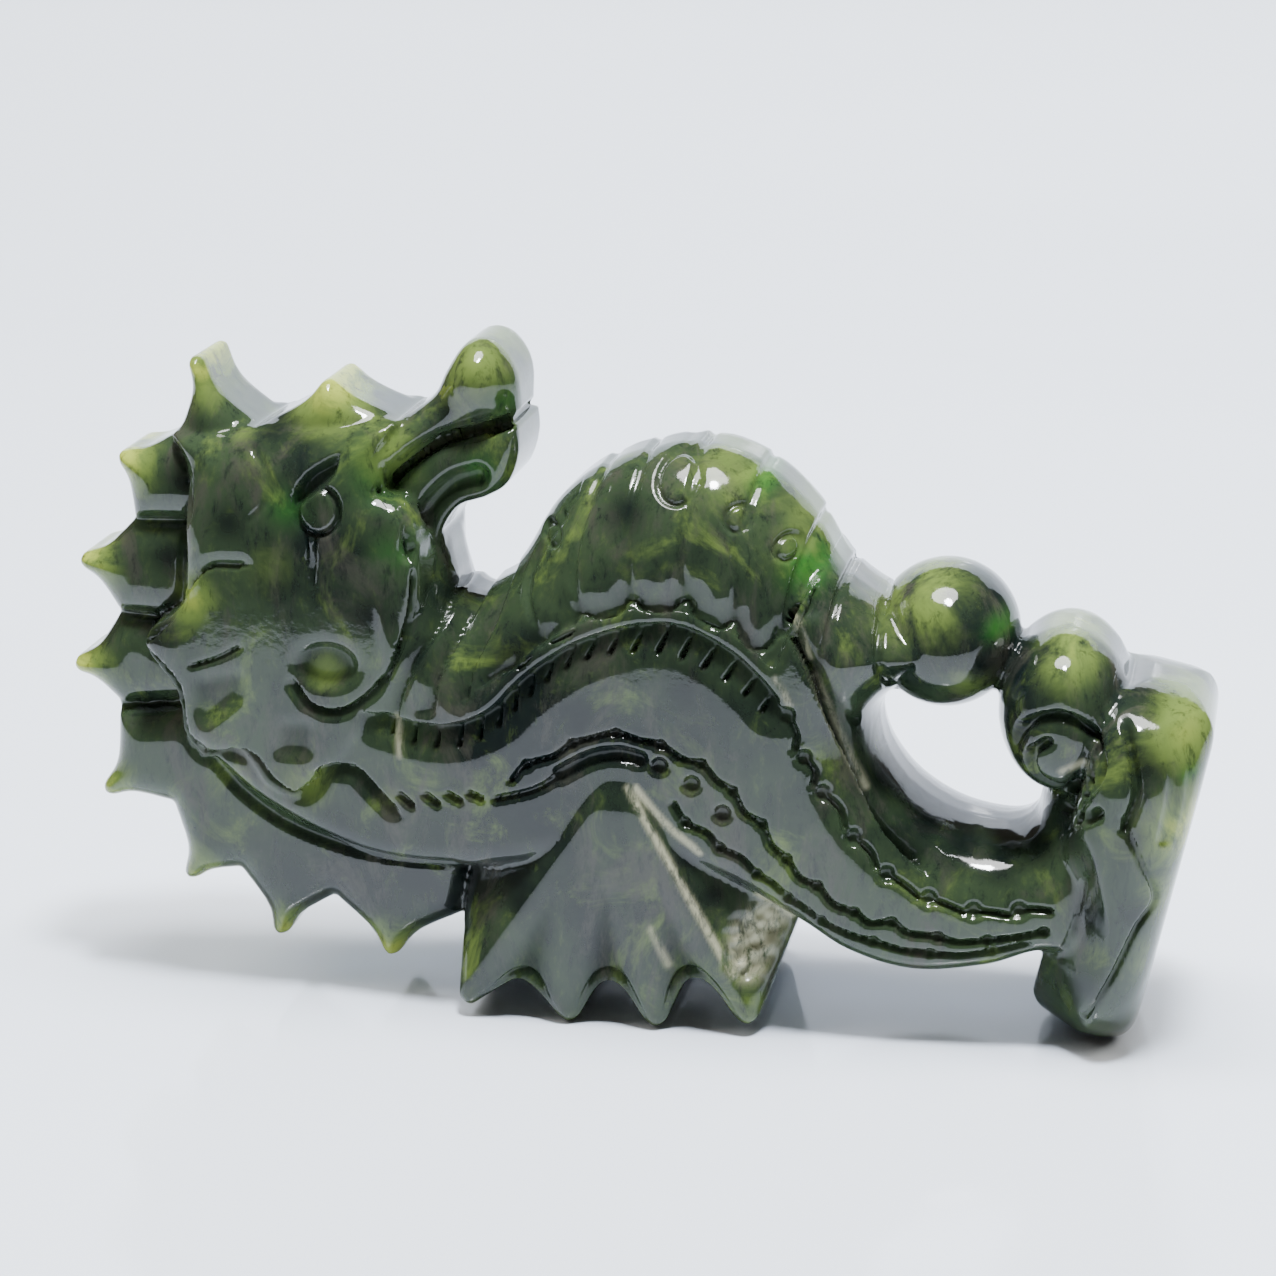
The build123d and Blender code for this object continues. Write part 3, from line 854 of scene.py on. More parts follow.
for ripple in (RIPPLE_LONG, RIPPLE_SHORT):
    cut(face_cuts, flow(ripple), 0.62, 0.62)
    for x, z in ripple[1::2]:
        cut(face_cuts, ring((x, z), 0.05), 0.95, 0.8)
for spot in ((3.8, 23.4), (6.5, 22.0), (9.1, 19.6)):
    cut(face_cuts, ring(spot, 0.2), 1.3, 0.6)
cut(face_cuts, flow([(-10.1, 19.6), (-6.9, 20.6), (-4.3, 22.2)]), 0.8, 0.5)
cut(face_cuts, flow([(-4.6, 22.2), (-2.0, 23.7), (0.3, 24.2), (2.1, 23.9)]), 1.7, 0.8)
print("ripples:", len(RIPPLE_LONG), "and", len(RIPPLE_SHORT), "points")

# %% [markdown]
# ## The fin
#
# Flutes run up the fin from the scallops, and fade towards its point. A flute widens
# and deepens as it goes down, which one groove can't do, so its depth is worked out
# from two lengths: how far along the flute a place is, and how far to the side.
#
# A patch by the fin's corner was left unpolished, with the sawn skin still on it. It
# is a filled outline, roughened with softened random grit. The random numbers are
# seeded, so the grit is the same each time.

# %% Cuts of the flutes
flutes = np.zeros((ROWS, COLUMNS), np.float32)
for valley, top in zip(FIN_VALLEYS, ((-4.9, 12.6), (-0.8, 14.0), (3.6, 13.2))):
    low = np.array(valley) - (0.0, 2.5)
    along = np.array(top) - low
    length = np.linalg.norm(along)
    along /= length
    share = ((X_ALL - low[0]) * along[0] + (Z_ALL - low[1]) * along[1]) / length
    aside = (X_ALL - low[0]) * along[1] - (Z_ALL - low[1]) * along[0]
    left = np.clip(1 - share, 0, 1)
    spread = 0.4 + 1.5 * left
    np.maximum(flutes, 1.7 * left**1.3 * np.exp(-((aside / spread) ** 2)), out=flutes)
flutes *= ease(-Z_ALL, -16, -12)
np.maximum(face_cuts, np.where(inside(SHAPES["fin"]), flutes, 0), out=face_cuts)
print("flutes, deepest:", round(float(flutes.max()), 2), "mm")

# %% The rough patch and the pale streaks
PIT = [(9.9, 9.4), (12.2, 11.2), (14.4, 10.4), (13.4, 7.6), (12.0, 4.9), (10.0, 5.6)]
pit = soften(inside(polygon(PIT)).astype(float), 0.5)
rng = np.random.default_rng(7)
grit = soften(rng.random((ROWS, COLUMNS)), 0.2)
grit = (grit - grit.mean()) / grit.std()
rough_map += pit.astype(np.float32)
np.maximum(face_cuts, (pit * (0.5 + 0.22 * grit)).astype(np.float32), out=face_cuts)
STREAK_WIDE = 0.48
STREAKS = (
    ([(1.2, 21.4), (4.0, 16.4), (7.6, 10.0), (10.2, 5.4)], 1.0),
    ([(1.8, 21.4), (4.2, 18.6), (7.2, 16.1)], 1.0), ([(11.8, 12.2), (14.6, 9.9)], 0.9),
    ([(16.6, 31.6), (18.6, 26.0), (20.6, 21.8)], 0.5), ([(15.0, 36.4), (16.0, 33.2)], 0.8),
    ([(13.4, 31.4), (14.6, 29.4)], 0.6), ([(-18.9, 25.9), (-18.6, 22.6)], 0.7),
    ([(3.2, 9.2), (4.6, 6.0)], 0.6), ([(36.8, 24.6), (38.4, 25.4)], 0.8),
)
for line, strength in STREAKS:
    streak = np.clip(1 - near(flow(line), STREAK_WIDE) / STREAK_WIDE, 0, 1)
    np.maximum(rough_map, (strength * streak).astype(np.float32), out=rough_map)
print("streaks:", len(STREAKS))

# %% [markdown]
# ## The tail and the plinth
#
# A scroll winds in on the coil, and a fold leads from it down the plinth. The scroll
# is one line with a step on its inner side, so the strip between two turns looks
# rounded. A spiral made by formula was the other choice, but this one was cut
# freehand and is not quite even.

# %% Cuts of the tail
SCROLL = [
    (39.9, 22.0), (38.1, 21.0), (35.1, 21.4), (33.1, 23.4), (32.6, 26.1), (33.9, 28.5),
    (36.6, 29.3), (39.1, 28.1), (39.9, 25.7), (38.7, 23.4), (36.6, 22.7), (34.6, 23.7),
    (34.1, 25.7), (35.5, 27.0),
]
cut(face_cuts, flow(SCROLL), 1.15, 1.1)
step_beside(face_cuts, flow(SCROLL[2:10]), 1.5, 0.7, -1)
cut(face_cuts, flow([(40.8, 31.4), (42.3, 27.6), (43.0, 24.0), (42.2, 21.0)]), 1.0, 0.9)
PLINTH_FOLD = [
    (42.0, 21.8), (43.6, 18.2), (44.8, 14.8), (43.4, 12.2), (41.6, 8.0), (39.4, 4.0),
]
cut(face_cuts, flow(PLINTH_FOLD), 0.7, 0.4)
cut(face_cuts, flow([(38.9, 15.6), (38.4, 12.4), (37.6, 9.6)]), 0.6, 0.3)
cut(wrap_cuts, flow([(21.0, 39.4), (21.4, 36.6), (21.6, 33.4), (22.4, 30.4)]), 0.9, 0.5)
for line in ([(45.3, 30.4), (46.0, 25.0), (45.4, 20.0)], [(46.8, 28.8), (47.4, 24.0), (46.6, 17.5)]):
    cut(face_cuts, flow(line), 1.6, 0.28)
all_cuts = face_cuts + wrap_cuts
print("cuts on", round(float((all_cuts > 0.02).mean()) * 100, 1), "% of the board")

# %% [markdown]
# ## Saw, rough out and cut
#
# Now the stone itself. Each outline is a face, extruded through the slab's thickness,
# and a voxel remesh fuses all the prisms to one skin, as one block of stone. Then the
# faces are pressed back to the depth map, and a second, finer remesh gives an even
# skin again where the pressing crowded it. A few passes of smoothing do what the
# polishing felt does. The cuts come last, so that they stay crisp.
#
# Sculpting tools could press the faces back too, but not to a given depth.

# %% Tools: saw, keep and remesh
def saw(bm, loop, near_y, far_y):
    """A prism of the slab inside an outline, between two depths."""
    ring_of_points = [bm.verts.new((x * MM, near_y * MM, z * MM)) for x, z in loop]
    face = bm.faces.new(ring_of_points)
    grown = bmesh.ops.extrude_face_region(bm, geom=[face])
    moved = [v for v in grown["geom"] if isinstance(v, bmesh.types.BMVert)]
    bmesh.ops.translate(bm, vec=(0, (far_y - near_y) * MM, 0), verts=moved)


def as_object(name, bm):
    """A new object in the scene from a bmesh."""
    bmesh.ops.recalc_face_normals(bm, faces=bm.faces)
    mesh = bpy.data.meshes.new(name)
    bm.to_mesh(mesh)
    bm.free()
    piece = bpy.data.objects.new(name, mesh)
    bpy.context.scene.collection.objects.link(piece)
    return piece


def apply_modifiers(piece):
    """Keep what the modifiers make as the piece's own mesh."""
    graph = bpy.context.evaluated_depsgraph_get()
    made = bpy.data.meshes.new_from_object(piece.evaluated_get(graph))
    old = piece.data
    piece.modifiers.clear()
    piece.data = made
    bpy.data.meshes.remove(old)


def remesh(piece, voxel):
    """One even skin round everything in the piece."""
    tool = piece.modifiers.new("remesh", "REMESH")
    tool.mode = "VOXEL"
    tool.voxel_size = voxel
    tool.use_smooth_shade = True
    apply_modifiers(piece)


print("tools ready")

# %% Saw the outlines
SAW_HALF = 12.6
ROUGH_VOXEL = 0.3 * MM
blank = bmesh.new()
for loop in SHAPES.values():
    saw(blank, loop[::2], -SAW_HALF, SAW_HALF)
stone = as_object("stone", blank)
remesh(stone, ROUGH_VOXEL)
print("sawn:", len(stone.data.polygons), "faces")


# %% Rough out to the depth map
FINE_VOXEL = 0.22 * MM


def places(mesh):
    """A mesh's points in millimetres, as an array."""
    flat = np.empty(len(mesh.vertices) * 3, np.float32)
    mesh.vertices.foreach_get("co", flat)
    return flat.reshape(-1, 3) / MM


def put_back(mesh, points):
    """Give a mesh its points back."""
    mesh.vertices.foreach_set("co", (points * MM).astype(np.float32).ravel())
    mesh.update()


points = places(stone.data)
depth = look_up(stone_depth, points[:, 0], points[:, 2])
points[:, 1] = np.sign(points[:, 1]) * np.minimum(np.abs(points[:, 1]), depth)
put_back(stone.data, points)
remesh(stone, FINE_VOXEL)
felt = stone.modifiers.new("felt", "SMOOTH")
felt.factor = 0.5
felt.iterations = 4
apply_modifiers(stone)
print("roughed out:", len(stone.data.polygons), "faces")


# %% Cut the lines
def facing(mesh):
    """A mesh's point normals, as an array."""
    flat = np.empty(len(mesh.vertices) * 3, np.float32)
    mesh.vertex_normals.foreach_get("vector", flat)
    return flat.reshape(-1, 3)


points = places(stone.data)
normals = facing(stone.data)
on_face = ease(np.abs(normals[:, 1]), 0.45, 0.8)
depth = look_up(face_cuts, points[:, 0], points[:, 2]) * on_face
wrapped = look_up(wrap_cuts, points[:, 0], points[:, 2])
points -= normals * np.maximum(depth, wrapped)[:, None]
put_back(stone.data, points)
polish = stone.modifiers.new("polish", "SMOOTH")
polish.factor = 0.3
polish.iterations = 1
apply_modifiers(stone)
print("cut:", len(stone.data.vertices), "points")

# %% [markdown]
# ## Split the stone by its nodes
#
# The frame counts the carving as named masses, and a library part is easier to use
# when each mass is a piece of its own. So the finished stone is divided along the
# same lines by Boolean cuts. The cut faces inside touch exactly, and the outer skin
# keeps its shading, so the stone still reads as one.

# %% Tools to divide the stone
THROUGH = 20.0


def cutter(loop, near_y=-THROUGH, far_y=THROUGH):
    """A prism between two depths, to divide the stone with."""
    bm = bmesh.new()
    saw(bm, loop, near_y, far_y)
    return as_object("cutter", bm)


def boolean(piece, tool, kind):
    """Cut a piece with a tool and keep the result."""
    step = piece.modifiers.new("divide", "BOOLEAN")
    step.operation = kind
    step.solver = "MANIFOLD"
    step.object = tool
    apply_modifiers(piece)


def split_off(name, whole, tool):
    """Take the part of a whole inside a cutter away as a piece of its own."""
    part = whole.copy()
    part.data = whole.data.copy()
    part.name = name
    bpy.context.scene.collection.objects.link(part)
    boolean(part, tool, "INTERSECT")
    boolean(whole, tool, "DIFFERENCE")
    bpy.data.objects.remove(tool)
    return part


def corners(*points):
    """A loop of straight edges."""
    return np.array(points, float)


def spike_cutter(number):
    """A wedge round one spike, from its root lines out past its tip."""
    tip = np.array(MANE_TIPS[number], float)
    before = np.array(MANE_VALLEYS[number], float)
    after = np.array(MANE_VALLEYS[number + 1], float)
    out = tip - (before + after) / 2
    out *= 3.0 / np.linalg.norm(out)
    root_a, root_b = (np.array(MANE_ROOTS[n], float) for n in (number, number + 1))
    lift_a = before + (before - root_a) / np.linalg.norm(before - root_a) * 0.6
    lift_b = after + (after - root_b) / np.linalg.norm(after - root_b) * 0.6
    return corners(root_a, before, lift_a, tip + out - (after - before) * 0.2,
                   tip + out + (after - before) * 0.2, lift_b, after, root_b)


def closed_by(run, *points):
    """A loop of one or more smooth runs, closed by straight edges through points."""
    path = [run[-1][-1], *points, run[0][0]]
    return outline(*run, *zip(path, path[1:]))


print("a spike's wedge has", len(spike_cutter(0)), "corners")

# %% The loops to divide it along
PAST_TOP, PAST_FLOOR = 60.0, -4.0
PLINTH_INNER = PLINTH_OUT * -PLINTH_THICK
base = np.array(plinth_place()) + PLINTH_INNER
CUTTERS = {
    "plinth": corners(
        base + PLINTH_UP * 24, base - PLINTH_UP * 24,
        base - PLINTH_UP * 24 - PLINTH_INNER * 3, base + PLINTH_UP * 24 - PLINTH_INNER * 3,
    ),
    "tail_bead": corners(
        (19.6, 41.6), (21.8, 31.0), (24.0, 26.0), (30.2, 27.0), (32.0, 31.0),
        (32.9, 34.2), (33.6, 38.0), (28.0, 44.0),
    ),
    "tail_coil": corners(
        (30.0, 31.0), (30.0, 24.0), (33.0, 21.9), (36.4, 20.9), (40.0, 22.2),
        (48.0, 24.0), (48.0, 44.0), (30.0, 44.0),
    ),
    "tail": corners(
        (12.4, 6.0), (23.5, 23.9), (30.0, 32.0), (52.0, 32.0), (52.0, PAST_FLOOR),
        (12.4, PAST_FLOOR),
    ),
    "dorsal_fin": closed_by(
        (FIN_FRONT, FIN_BACK), (-14.2, 12.0), (-14.2, PAST_FLOOR), (18.0, PAST_FLOOR),
    ),
    "lower_jaw": closed_by(
        (MOUTH,), (-4.0, 51.2), (-8.0, 43.0), (-13.2, 42.8), (-15.6, 40.9), (-17.4, 41.9),
    ),
    "snout": corners(
        (-20.6, 44.6), (-19.6, 50.3), (-19.0, PAST_TOP), (-4.0, PAST_TOP), (-4.0, 44.6),
    ),
    **{f"mane_spike_{number + 1}": spike_cutter(number) for number in range(9)},
    "head": closed_by((HEAD_BACK, MANE_WAVE, CHEEK), (-19.5, 52.5), (-38.8, 52.5)),
    "belly": closed_by((BELLY_EDGE,), (20.0, PAST_TOP), (-24.0, PAST_TOP)),
}
print("loops:", len(CUTTERS))

# %% Divide the stone
MANY_POINTS = 40
EYE_R, EYE_DEEP, EYE_PAST = 1.45, 7.6, 12.0
pieces = {}
for name, loop in CUTTERS.items():
    tool = cutter(loop[::2] if len(loop) > MANY_POINTS else loop)
    pieces[name] = split_off(name + "_carving", stone, tool)
pieces["trunk"] = stone
stone.name = "trunk_carving"
for name, side in (("eye_front", -1), ("eye_back", 1)):
    tool = cutter(ring(EYE_AT, EYE_R), side * EYE_DEEP, side * EYE_PAST)
    pieces[name] = split_off(name + "_carving", pieces["head"], tool)
for name, piece in pieces.items():
    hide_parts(name)
    print(name, len(piece.data.polygons), "faces")
for name, piece in pieces.items():
    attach(piece, "root")

# %% [markdown]
# ## The jade
#
# Nephrite of this kind is nearly black-green in the mass, with clouds of mid and
# yellow green, and it lets light through its thin tips, which look yellow-green. Its
# polish is like glass. In the cuts the polish is poorer, and there is pale dust.
#
# Real subsurface scattering through a dense dark stone is slow and hardly seen, so
# the tips' glow is painted instead: an attribute says how thin the stone is, and the
# colour nodes read it. Two more attributes paint a green glow in a few places and
# painted shade where hollows and faces turned up mirror the dark room. Clouds and
# flecks are noise on Object coordinates.

# %% Where the stone is thin
def spot_map(spots):
    """A map of soft round spots, each with a middle, a reach and a strength."""
    board = np.zeros((ROWS, COLUMNS))
    for (x, z), reach, strength in spots:
        blob = np.exp(-((X_ALL - x) ** 2 + (Z_ALL - z) ** 2) / (0.5 * reach**2))
        board = np.maximum(board, strength * blob)
    return board


THIN_SPOTS = [
    *[(tip, 5.0, 1.0) for tip in MANE_TIPS], *[(tip, 3.0, 0.25) for tip in FIN_TIPS],
    ((-12.6, 56.0), 5.0, 0.5), ((24.5, 38.0), 6.0, 0.55), ((37.0, 34.5), 4.5, 0.6),
    ((47.4, 20.5), 5.0, 1.0), ((45.6, 14.6), 3.5, 0.5), ((46.5, 28.5), 4.5, 0.6),
    ((45.0, 9.0), 4.0, 0.35), ((8.0, 49.0), 6.0, 0.35), ((16.0, 43.0), 6.0, 0.35),
    ((-25.0, 29.4), 2.4, 0.5), ((-36.6, 35.2), 3.2, 0.7), ((-26.5, 19.6), 3.2, 0.55),
    ((-19.6, 47.6), 4.0, 0.4), ((-29.6, 38.5), 4.0, 0.25), ((29.0, 31.0), 3.0, 0.4),
]
thin_map = spot_map(THIN_SPOTS)
print("thin spots:", len(THIN_SPOTS))

# %% Where the glow and the shade are painted
# Painted glow: spots of emerald where light shines through the stone, painted into the colour.
GLOW_SPOTS = [
    ((15.4, 40.2), 2.4, 0.55), ((11.4, 46.8), 1.5, 0.5), ((31.0, 35.2), 1.5, 0.5),
    ((47.2, 25.2), 1.4, 0.5), ((-20.2, 46.6), 3.2, 0.30), ((-28.2, 43.4), 2.0, 0.28),
    ((-12.4, 46.6), 2.2, 0.30), ((-10.4, 52.6), 1.8, 0.25), ((-19.0, 40.0), 2.4, 0.22),
]
# Painted shade, with some of the stone's darker tone where it is thick: spots that darken the colour
# where hollows, such as the inside of the tail's loop and the plinth's inner facet, and faces turned
# up mirror the dark room.
DARK = 0.85
PAINTED_SHADE_SPOTS = [
    ((25.6, 18.4), 2.0), ((28.5, 16.8), 2.2), ((31.9, 16.0), 2.4), ((34.6, 17.6), 2.2),
    ((37.2, 19.6), 2.0), ((22.0, 22.4), 1.8), ((20.4, 27.0), 1.8), ((28.4, 27.4), 2.2),
    ((39.6, 12.6), 2.6), ((39.4, 6.6), 2.4), ((43.4, 13.4), 2.0), ((-15.2, 36.0), 2.6),
    ((-17.2, 31.0), 2.2), ((-13.6, 42.6), 2.2), ((-8.4, 31.6), 3.4), ((-8.0, 10.8), 2.0),
    ((-13.4, 11.4), 2.4), ((-9.4, 14.6), 1.8), ((-39.6, 38.0), 2.0), ((-40.0, 31.8), 2.6),
    ((-41.6, 24.2), 2.2), ((-38.0, 44.4), 1.8), ((-15.0, 51.4), 1.6), ((-3.0, 27.2), 2.4),
    ((6.0, 30.0), 3.0), ((29.8, 32.0), 1.8), ((6.0, 15.4), 1.6), ((8.2, 12.2), 1.6),
    ((10.2, 13.4), 1.6), ((-33.0, 42.0), 2.4), ((-30.0, 49.6), 2.0), ((43.6, 26.0), 1.8),
    ((42.8, 20.0), 1.8), ((-21.0, 34.6), 2.4), ((0.6, 44.4), 2.6),
]
painted_glow_map = spot_map(GLOW_SPOTS)
painted_shade_map = spot_map([(middle, reach, DARK) for middle, reach in PAINTED_SHADE_SPOTS])
print("glowing spots:", len(GLOW_SPOTS), "dark spots:", len(PAINTED_SHADE_SPOTS))

# %% Write the maps on the pieces
DEEP_CUT = 0.9
cut_map = np.clip(all_cuts / DEEP_CUT, 0, 1)


def mark(piece):
    """Write how thin, how deep in a cut and how rough the stone is at each point,
    and where the glow and the shade are painted.
    """
    spots = places(piece.data)
    x, z = spots[:, 0], spots[:, 2]
    height = np.abs(spots[:, 1])
    values = {
        "thin": np.clip(look_up(thin_map, x, z), 0, 1),
        "glow": look_up(painted_glow_map, x, z),
        "dark": look_up(painted_shade_map, x, z),
        "cut": np.clip(look_up(cut_map, x, z) * ease(height, 2.5, 4.5), 0, 1),
        "rough": np.clip(look_up(rough_map, x, z) * ease(height, 4.0, 6.0), 0, 1),
    }
    for name, value in values.items():
        layer = piece.data.attributes.new(name, "FLOAT", "POINT")
        layer.data.foreach_set("value", value.astype(np.float32))


for piece in pieces.values():
    mark(piece)
print("marked:", len(pieces), "pieces")

# %% [markdown]
# ## Colour and polish
#
# The colour is built in layers, as the eye reads the stone: a deep and a mid green in
# wide clouds, leaf green in patches, smoke along the fibres, then the marked places,
# and fine flecks over all. A painted texture would do, but noise has no seams between
# the pieces and stays sharp at any size. The fibres are the same noise, stretched and
# turned by a Mapping node.

# %% Node helpers
def node(tree, kind, x, y, **settings):
    """A shader node at a place in the tree, with its settings."""
    made = tree.nodes.new(kind)
    made.location = (x, y)
    for key, value in settings.items():
        setattr(made, key, value)
    return made


def blend(tree, factor, low, high, x, y):
    """Mix two colours; each end is a colour or a socket."""
    mix = node(tree, "ShaderNodeMix", x, y, data_type="RGBA")
    tree.links.new(factor, mix.inputs["Factor"])
    for socket, end in ((mix.inputs["A"], low), (mix.inputs["B"], high)):
        if isinstance(end, tuple):
            socket.default_value = (*end, 1.0)
        else:
            tree.links.new(end, socket)
    return mix.outputs["Result"]


def band(tree, value, low, high, x, y):
    """A value spread so that low becomes 0 and high becomes 1."""
    spread = node(tree, "ShaderNodeMapRange", x, y, interpolation_type="SMOOTHSTEP")
    tree.links.new(value, spread.inputs["Value"])
    spread.inputs["From Min"].default_value = low
    spread.inputs["From Max"].default_value = high
    return spread.outputs["Result"]


def cloud(tree, coords, size, detail, x, y, twist=0.0, roughness=0.55):
    """Noise on Object coordinates, with features of about this size in metres."""
    noise = node(tree, "ShaderNodeTexNoise", x, y)
    noise.inputs["Scale"].default_value = 1.0 / size
    noise.inputs["Detail"].default_value = detail
    noise.inputs["Roughness"].default_value = roughness
    noise.inputs["Distortion"].default_value = twist
    tree.links.new(coords, noise.inputs["Vector"])
    return noise.outputs["Fac"]


def product(tree, first, second, x, y):
    """Two values multiplied; the second may be a number."""
    times = node(tree, "ShaderNodeMath", x, y, operation="MULTIPLY")
    tree.links.new(first, times.inputs[0])
    if isinstance(second, float):
        times.inputs[1].default_value = second
    else:
        tree.links.new(second, times.inputs[1])
    return times.outputs[0]


print("node helpers ready")

# %% Colour of the jade
DEEP_GREEN = (0.005, 0.009, 0.009)
MID_GREEN = (0.027, 0.045, 0.022)
EYE_DEEP_GREEN = (0.006, 0.012, 0.008)
EYE_MID_GREEN = (0.034, 0.058, 0.026)
PAINTED_SHADE_INK = (0.004, 0.007, 0.007)
SMOKE = (0.046, 0.045, 0.036)
LEAF_GREEN = (0.098, 0.145, 0.034)
PAINTED_GLOW_GREEN = (0.020, 0.150, 0.012)
GOLD_GREEN = (0.30, 0.36, 0.055)
DUST = (0.42, 0.41, 0.27)


def jade_colour(tree, coords, marks, deep, mid):
    """Clouds of green, smoke along the fibres, marked places and flecks, in layers."""
    lay = node(tree, "ShaderNodeMapping", -2000, 100)
    lay.inputs["Rotation"].default_value = (0.0, 0.7, 0.0)
    lay.inputs["Scale"].default_value = (1.0, 1.0, 0.38)
    tree.links.new(coords, lay.inputs["Vector"])
    fibres = lay.outputs["Vector"]
    wide = cloud(tree, coords, 0.020, 5.0, -1700, 500, twist=0.5)
    patch = cloud(tree, coords, 0.008, 7.0, -1700, 300, twist=1.0, roughness=0.66)
    smoke = cloud(tree, fibres, 0.0045, 8.0, -1700, 100, twist=0.8, roughness=0.70)
    fleck = cloud(tree, fibres, 0.0011, 7.0, -1700, -100, twist=0.3, roughness=0.74)
    base = blend(tree, band(tree, wide, 0.34, 0.60, -1400, 500), deep, mid, -1200, 500)
    leafy = band(tree, patch, 0.52, 0.74, -1400, 300)
    base = blend(tree, leafy, base, LEAF_GREEN, -1050, 450)
    smoky = product(tree, band(tree, smoke, 0.48, 0.66, -1400, 100), 0.75, -1200, 100)
    base = blend(tree, smoky, base, SMOKE, -900, 400)
    # Painted glow: emerald where the glow spots are.
    base = blend(tree, marks["glow"], base, PAINTED_GLOW_GREEN, -780, 400)
    clear = band(tree, patch, 0.26, 0.56, -1400, -300)
    light = product(tree, marks["thin"], clear, -1200, -300)
    base = blend(tree, band(tree, light, 0.04, 0.50, -1000, -300), base, LEAF_GREEN, -660, 350)
    base = blend(tree, band(tree, light, 0.42, 1.0, -1000, -450), base, GOLD_GREEN, -540, 350)
    speck = product(tree, band(tree, fleck, 0.50, 0.70, -1400, -100), 0.72, -1200, -100)
    base = blend(tree, speck, base, deep, -420, 300)
    pale = product(tree, band(tree, fleck, 0.46, 0.28, -1400, -200), 0.20, -1200, -200)
    base = blend(tree, pale, base, LEAF_GREEN, -300, 300)
    # Painted shade: near black where the shade spots are.
    base = blend(tree, marks["dark"], base, PAINTED_SHADE_INK, -220, 450)
    dusty = product(tree, marks["rough"], band(tree, fleck, 0.34, 0.56, -1000, -650), -800, -650)
    return blend(tree, dusty, base, DUST, -150, 300)


print("deep green:", DEEP_GREEN)


# %% Polish of the jade
def spread_out(tree, value, low, high, x, y):
    """A mark from 0 to 1 turned into a value from low to high."""
    spread = node(tree, "ShaderNodeMapRange", x, y)
    tree.links.new(value, spread.inputs["Value"])
    spread.inputs["To Min"].default_value = low
    spread.inputs["To Max"].default_value = high
    return spread.outputs["Result"]


def jade_polish(tree, coords, marks, surface):
    """Glassy on the rounds, dull in the cuts and on the unpolished places.
    The weaker reflection in the cuts is partly their poorer polish, partly painted shade.
    """
    dull = node(tree, "ShaderNodeMath", -200, -200, operation="ADD")
    tree.links.new(spread_out(tree, marks["rough"], 0.07, 0.55, -500, -200), dull.inputs[0])
    tree.links.new(product(tree, marks["cut"], 0.10, -500, -400), dull.inputs[1])
    tree.links.new(dull.outputs[0], surface.inputs["Roughness"])
    # Weaker reflection in the cuts: partly their poorer polish, partly painted shade of the grooves.
    sheen = spread_out(tree, marks["cut"], 0.5, 0.16, -200, 100)
    tree.links.new(sheen, surface.inputs["Specular IOR Level"])
    grain = node(tree, "ShaderNodeBump", -200, -450)
    grain.inputs["Strength"].default_value = 0.10
    grain.inputs["Distance"].default_value = 0.0002
    uneven = cloud(tree, coords, 0.0020, 4.0, -500, -900, roughness=0.6)
    tree.links.new(uneven, grain.inputs["Height"])
    tree.links.new(grain.outputs["Normal"], surface.inputs["Normal"])


def jade_material(name, deep, mid):
    """Polished nephrite."""
    material = bpy.data.materials.new(name)
    material.use_nodes = True
    tree = material.node_tree
    tree.nodes.clear()
    coords = node(tree, "ShaderNodeTexCoord", -2200, 0).outputs["Object"]
    marks = {}
    for row, what in enumerate(("thin", "cut", "rough", "glow", "dark")):
        reader = node(tree, "ShaderNodeAttribute", -2200, -400 - 200 * row, attribute_name=what)
        marks[what] = reader.outputs["Fac"]
    surface = node(tree, "ShaderNodeBsdfPrincipled", 150, 200)
    surface.inputs["IOR"].default_value = 1.52
    colour = jade_colour(tree, coords, marks, deep, mid)
    tree.links.new(colour, surface.inputs["Base Color"])
    jade_polish(tree, coords, marks, surface)
    output = node(tree, "ShaderNodeOutputMaterial", 450, 200)
    tree.links.new(surface.outputs["BSDF"], output.inputs["Surface"])
    print(name, len(tree.nodes), "nodes")
    return material


jade = jade_material("polished_nephrite", DEEP_GREEN, MID_GREEN)
eye_jade = jade_material("eye_nephrite", EYE_DEEP_GREEN, EYE_MID_GREEN)

# %% Finish every piece
SHARP = math.radians(62)
for name, piece in pieces.items():
    piece.data.materials.clear()
    piece.data.materials.append(eye_jade if name.startswith("eye") else jade)
    piece.data.shade_smooth()
    piece.data.set_sharp_from_angle(angle=SHARP)
print("finished:", len(pieces), "pieces")

# %% [markdown]
# ## Floor, light and camera
#
# A polished stone shows its surroundings. Its upright faces mirror the pale table in
# front of it, up to where the table ends, and what leans back mirrors the dark room
# above, with small bright lights. So the floor is a sheet that ends a little in front
# of the object, it curves up behind as a backdrop, and the room stays dark. A wide
# table just under the sheet closes the view from other sides, and no reflection
# shows it.

# %% Floor and backdrop
FRONT_EDGE, BACK_EDGE = -0.118, 0.50
WALL_TOP = 0.42
SHEET_HALF = 0.40
BEND = 0.22


def plain_material(name, colour, roughness, ior):
    """A smooth plain surface."""
    material = bpy.data.materials.new(name)
    material.use_nodes = True
    surface = material.node_tree.nodes["Principled BSDF"]
    surface.inputs["Base Color"].default_value = (*colour, 1)
    surface.inputs["Roughness"].default_value = roughness
    surface.inputs["IOR"].default_value = ior
    return material


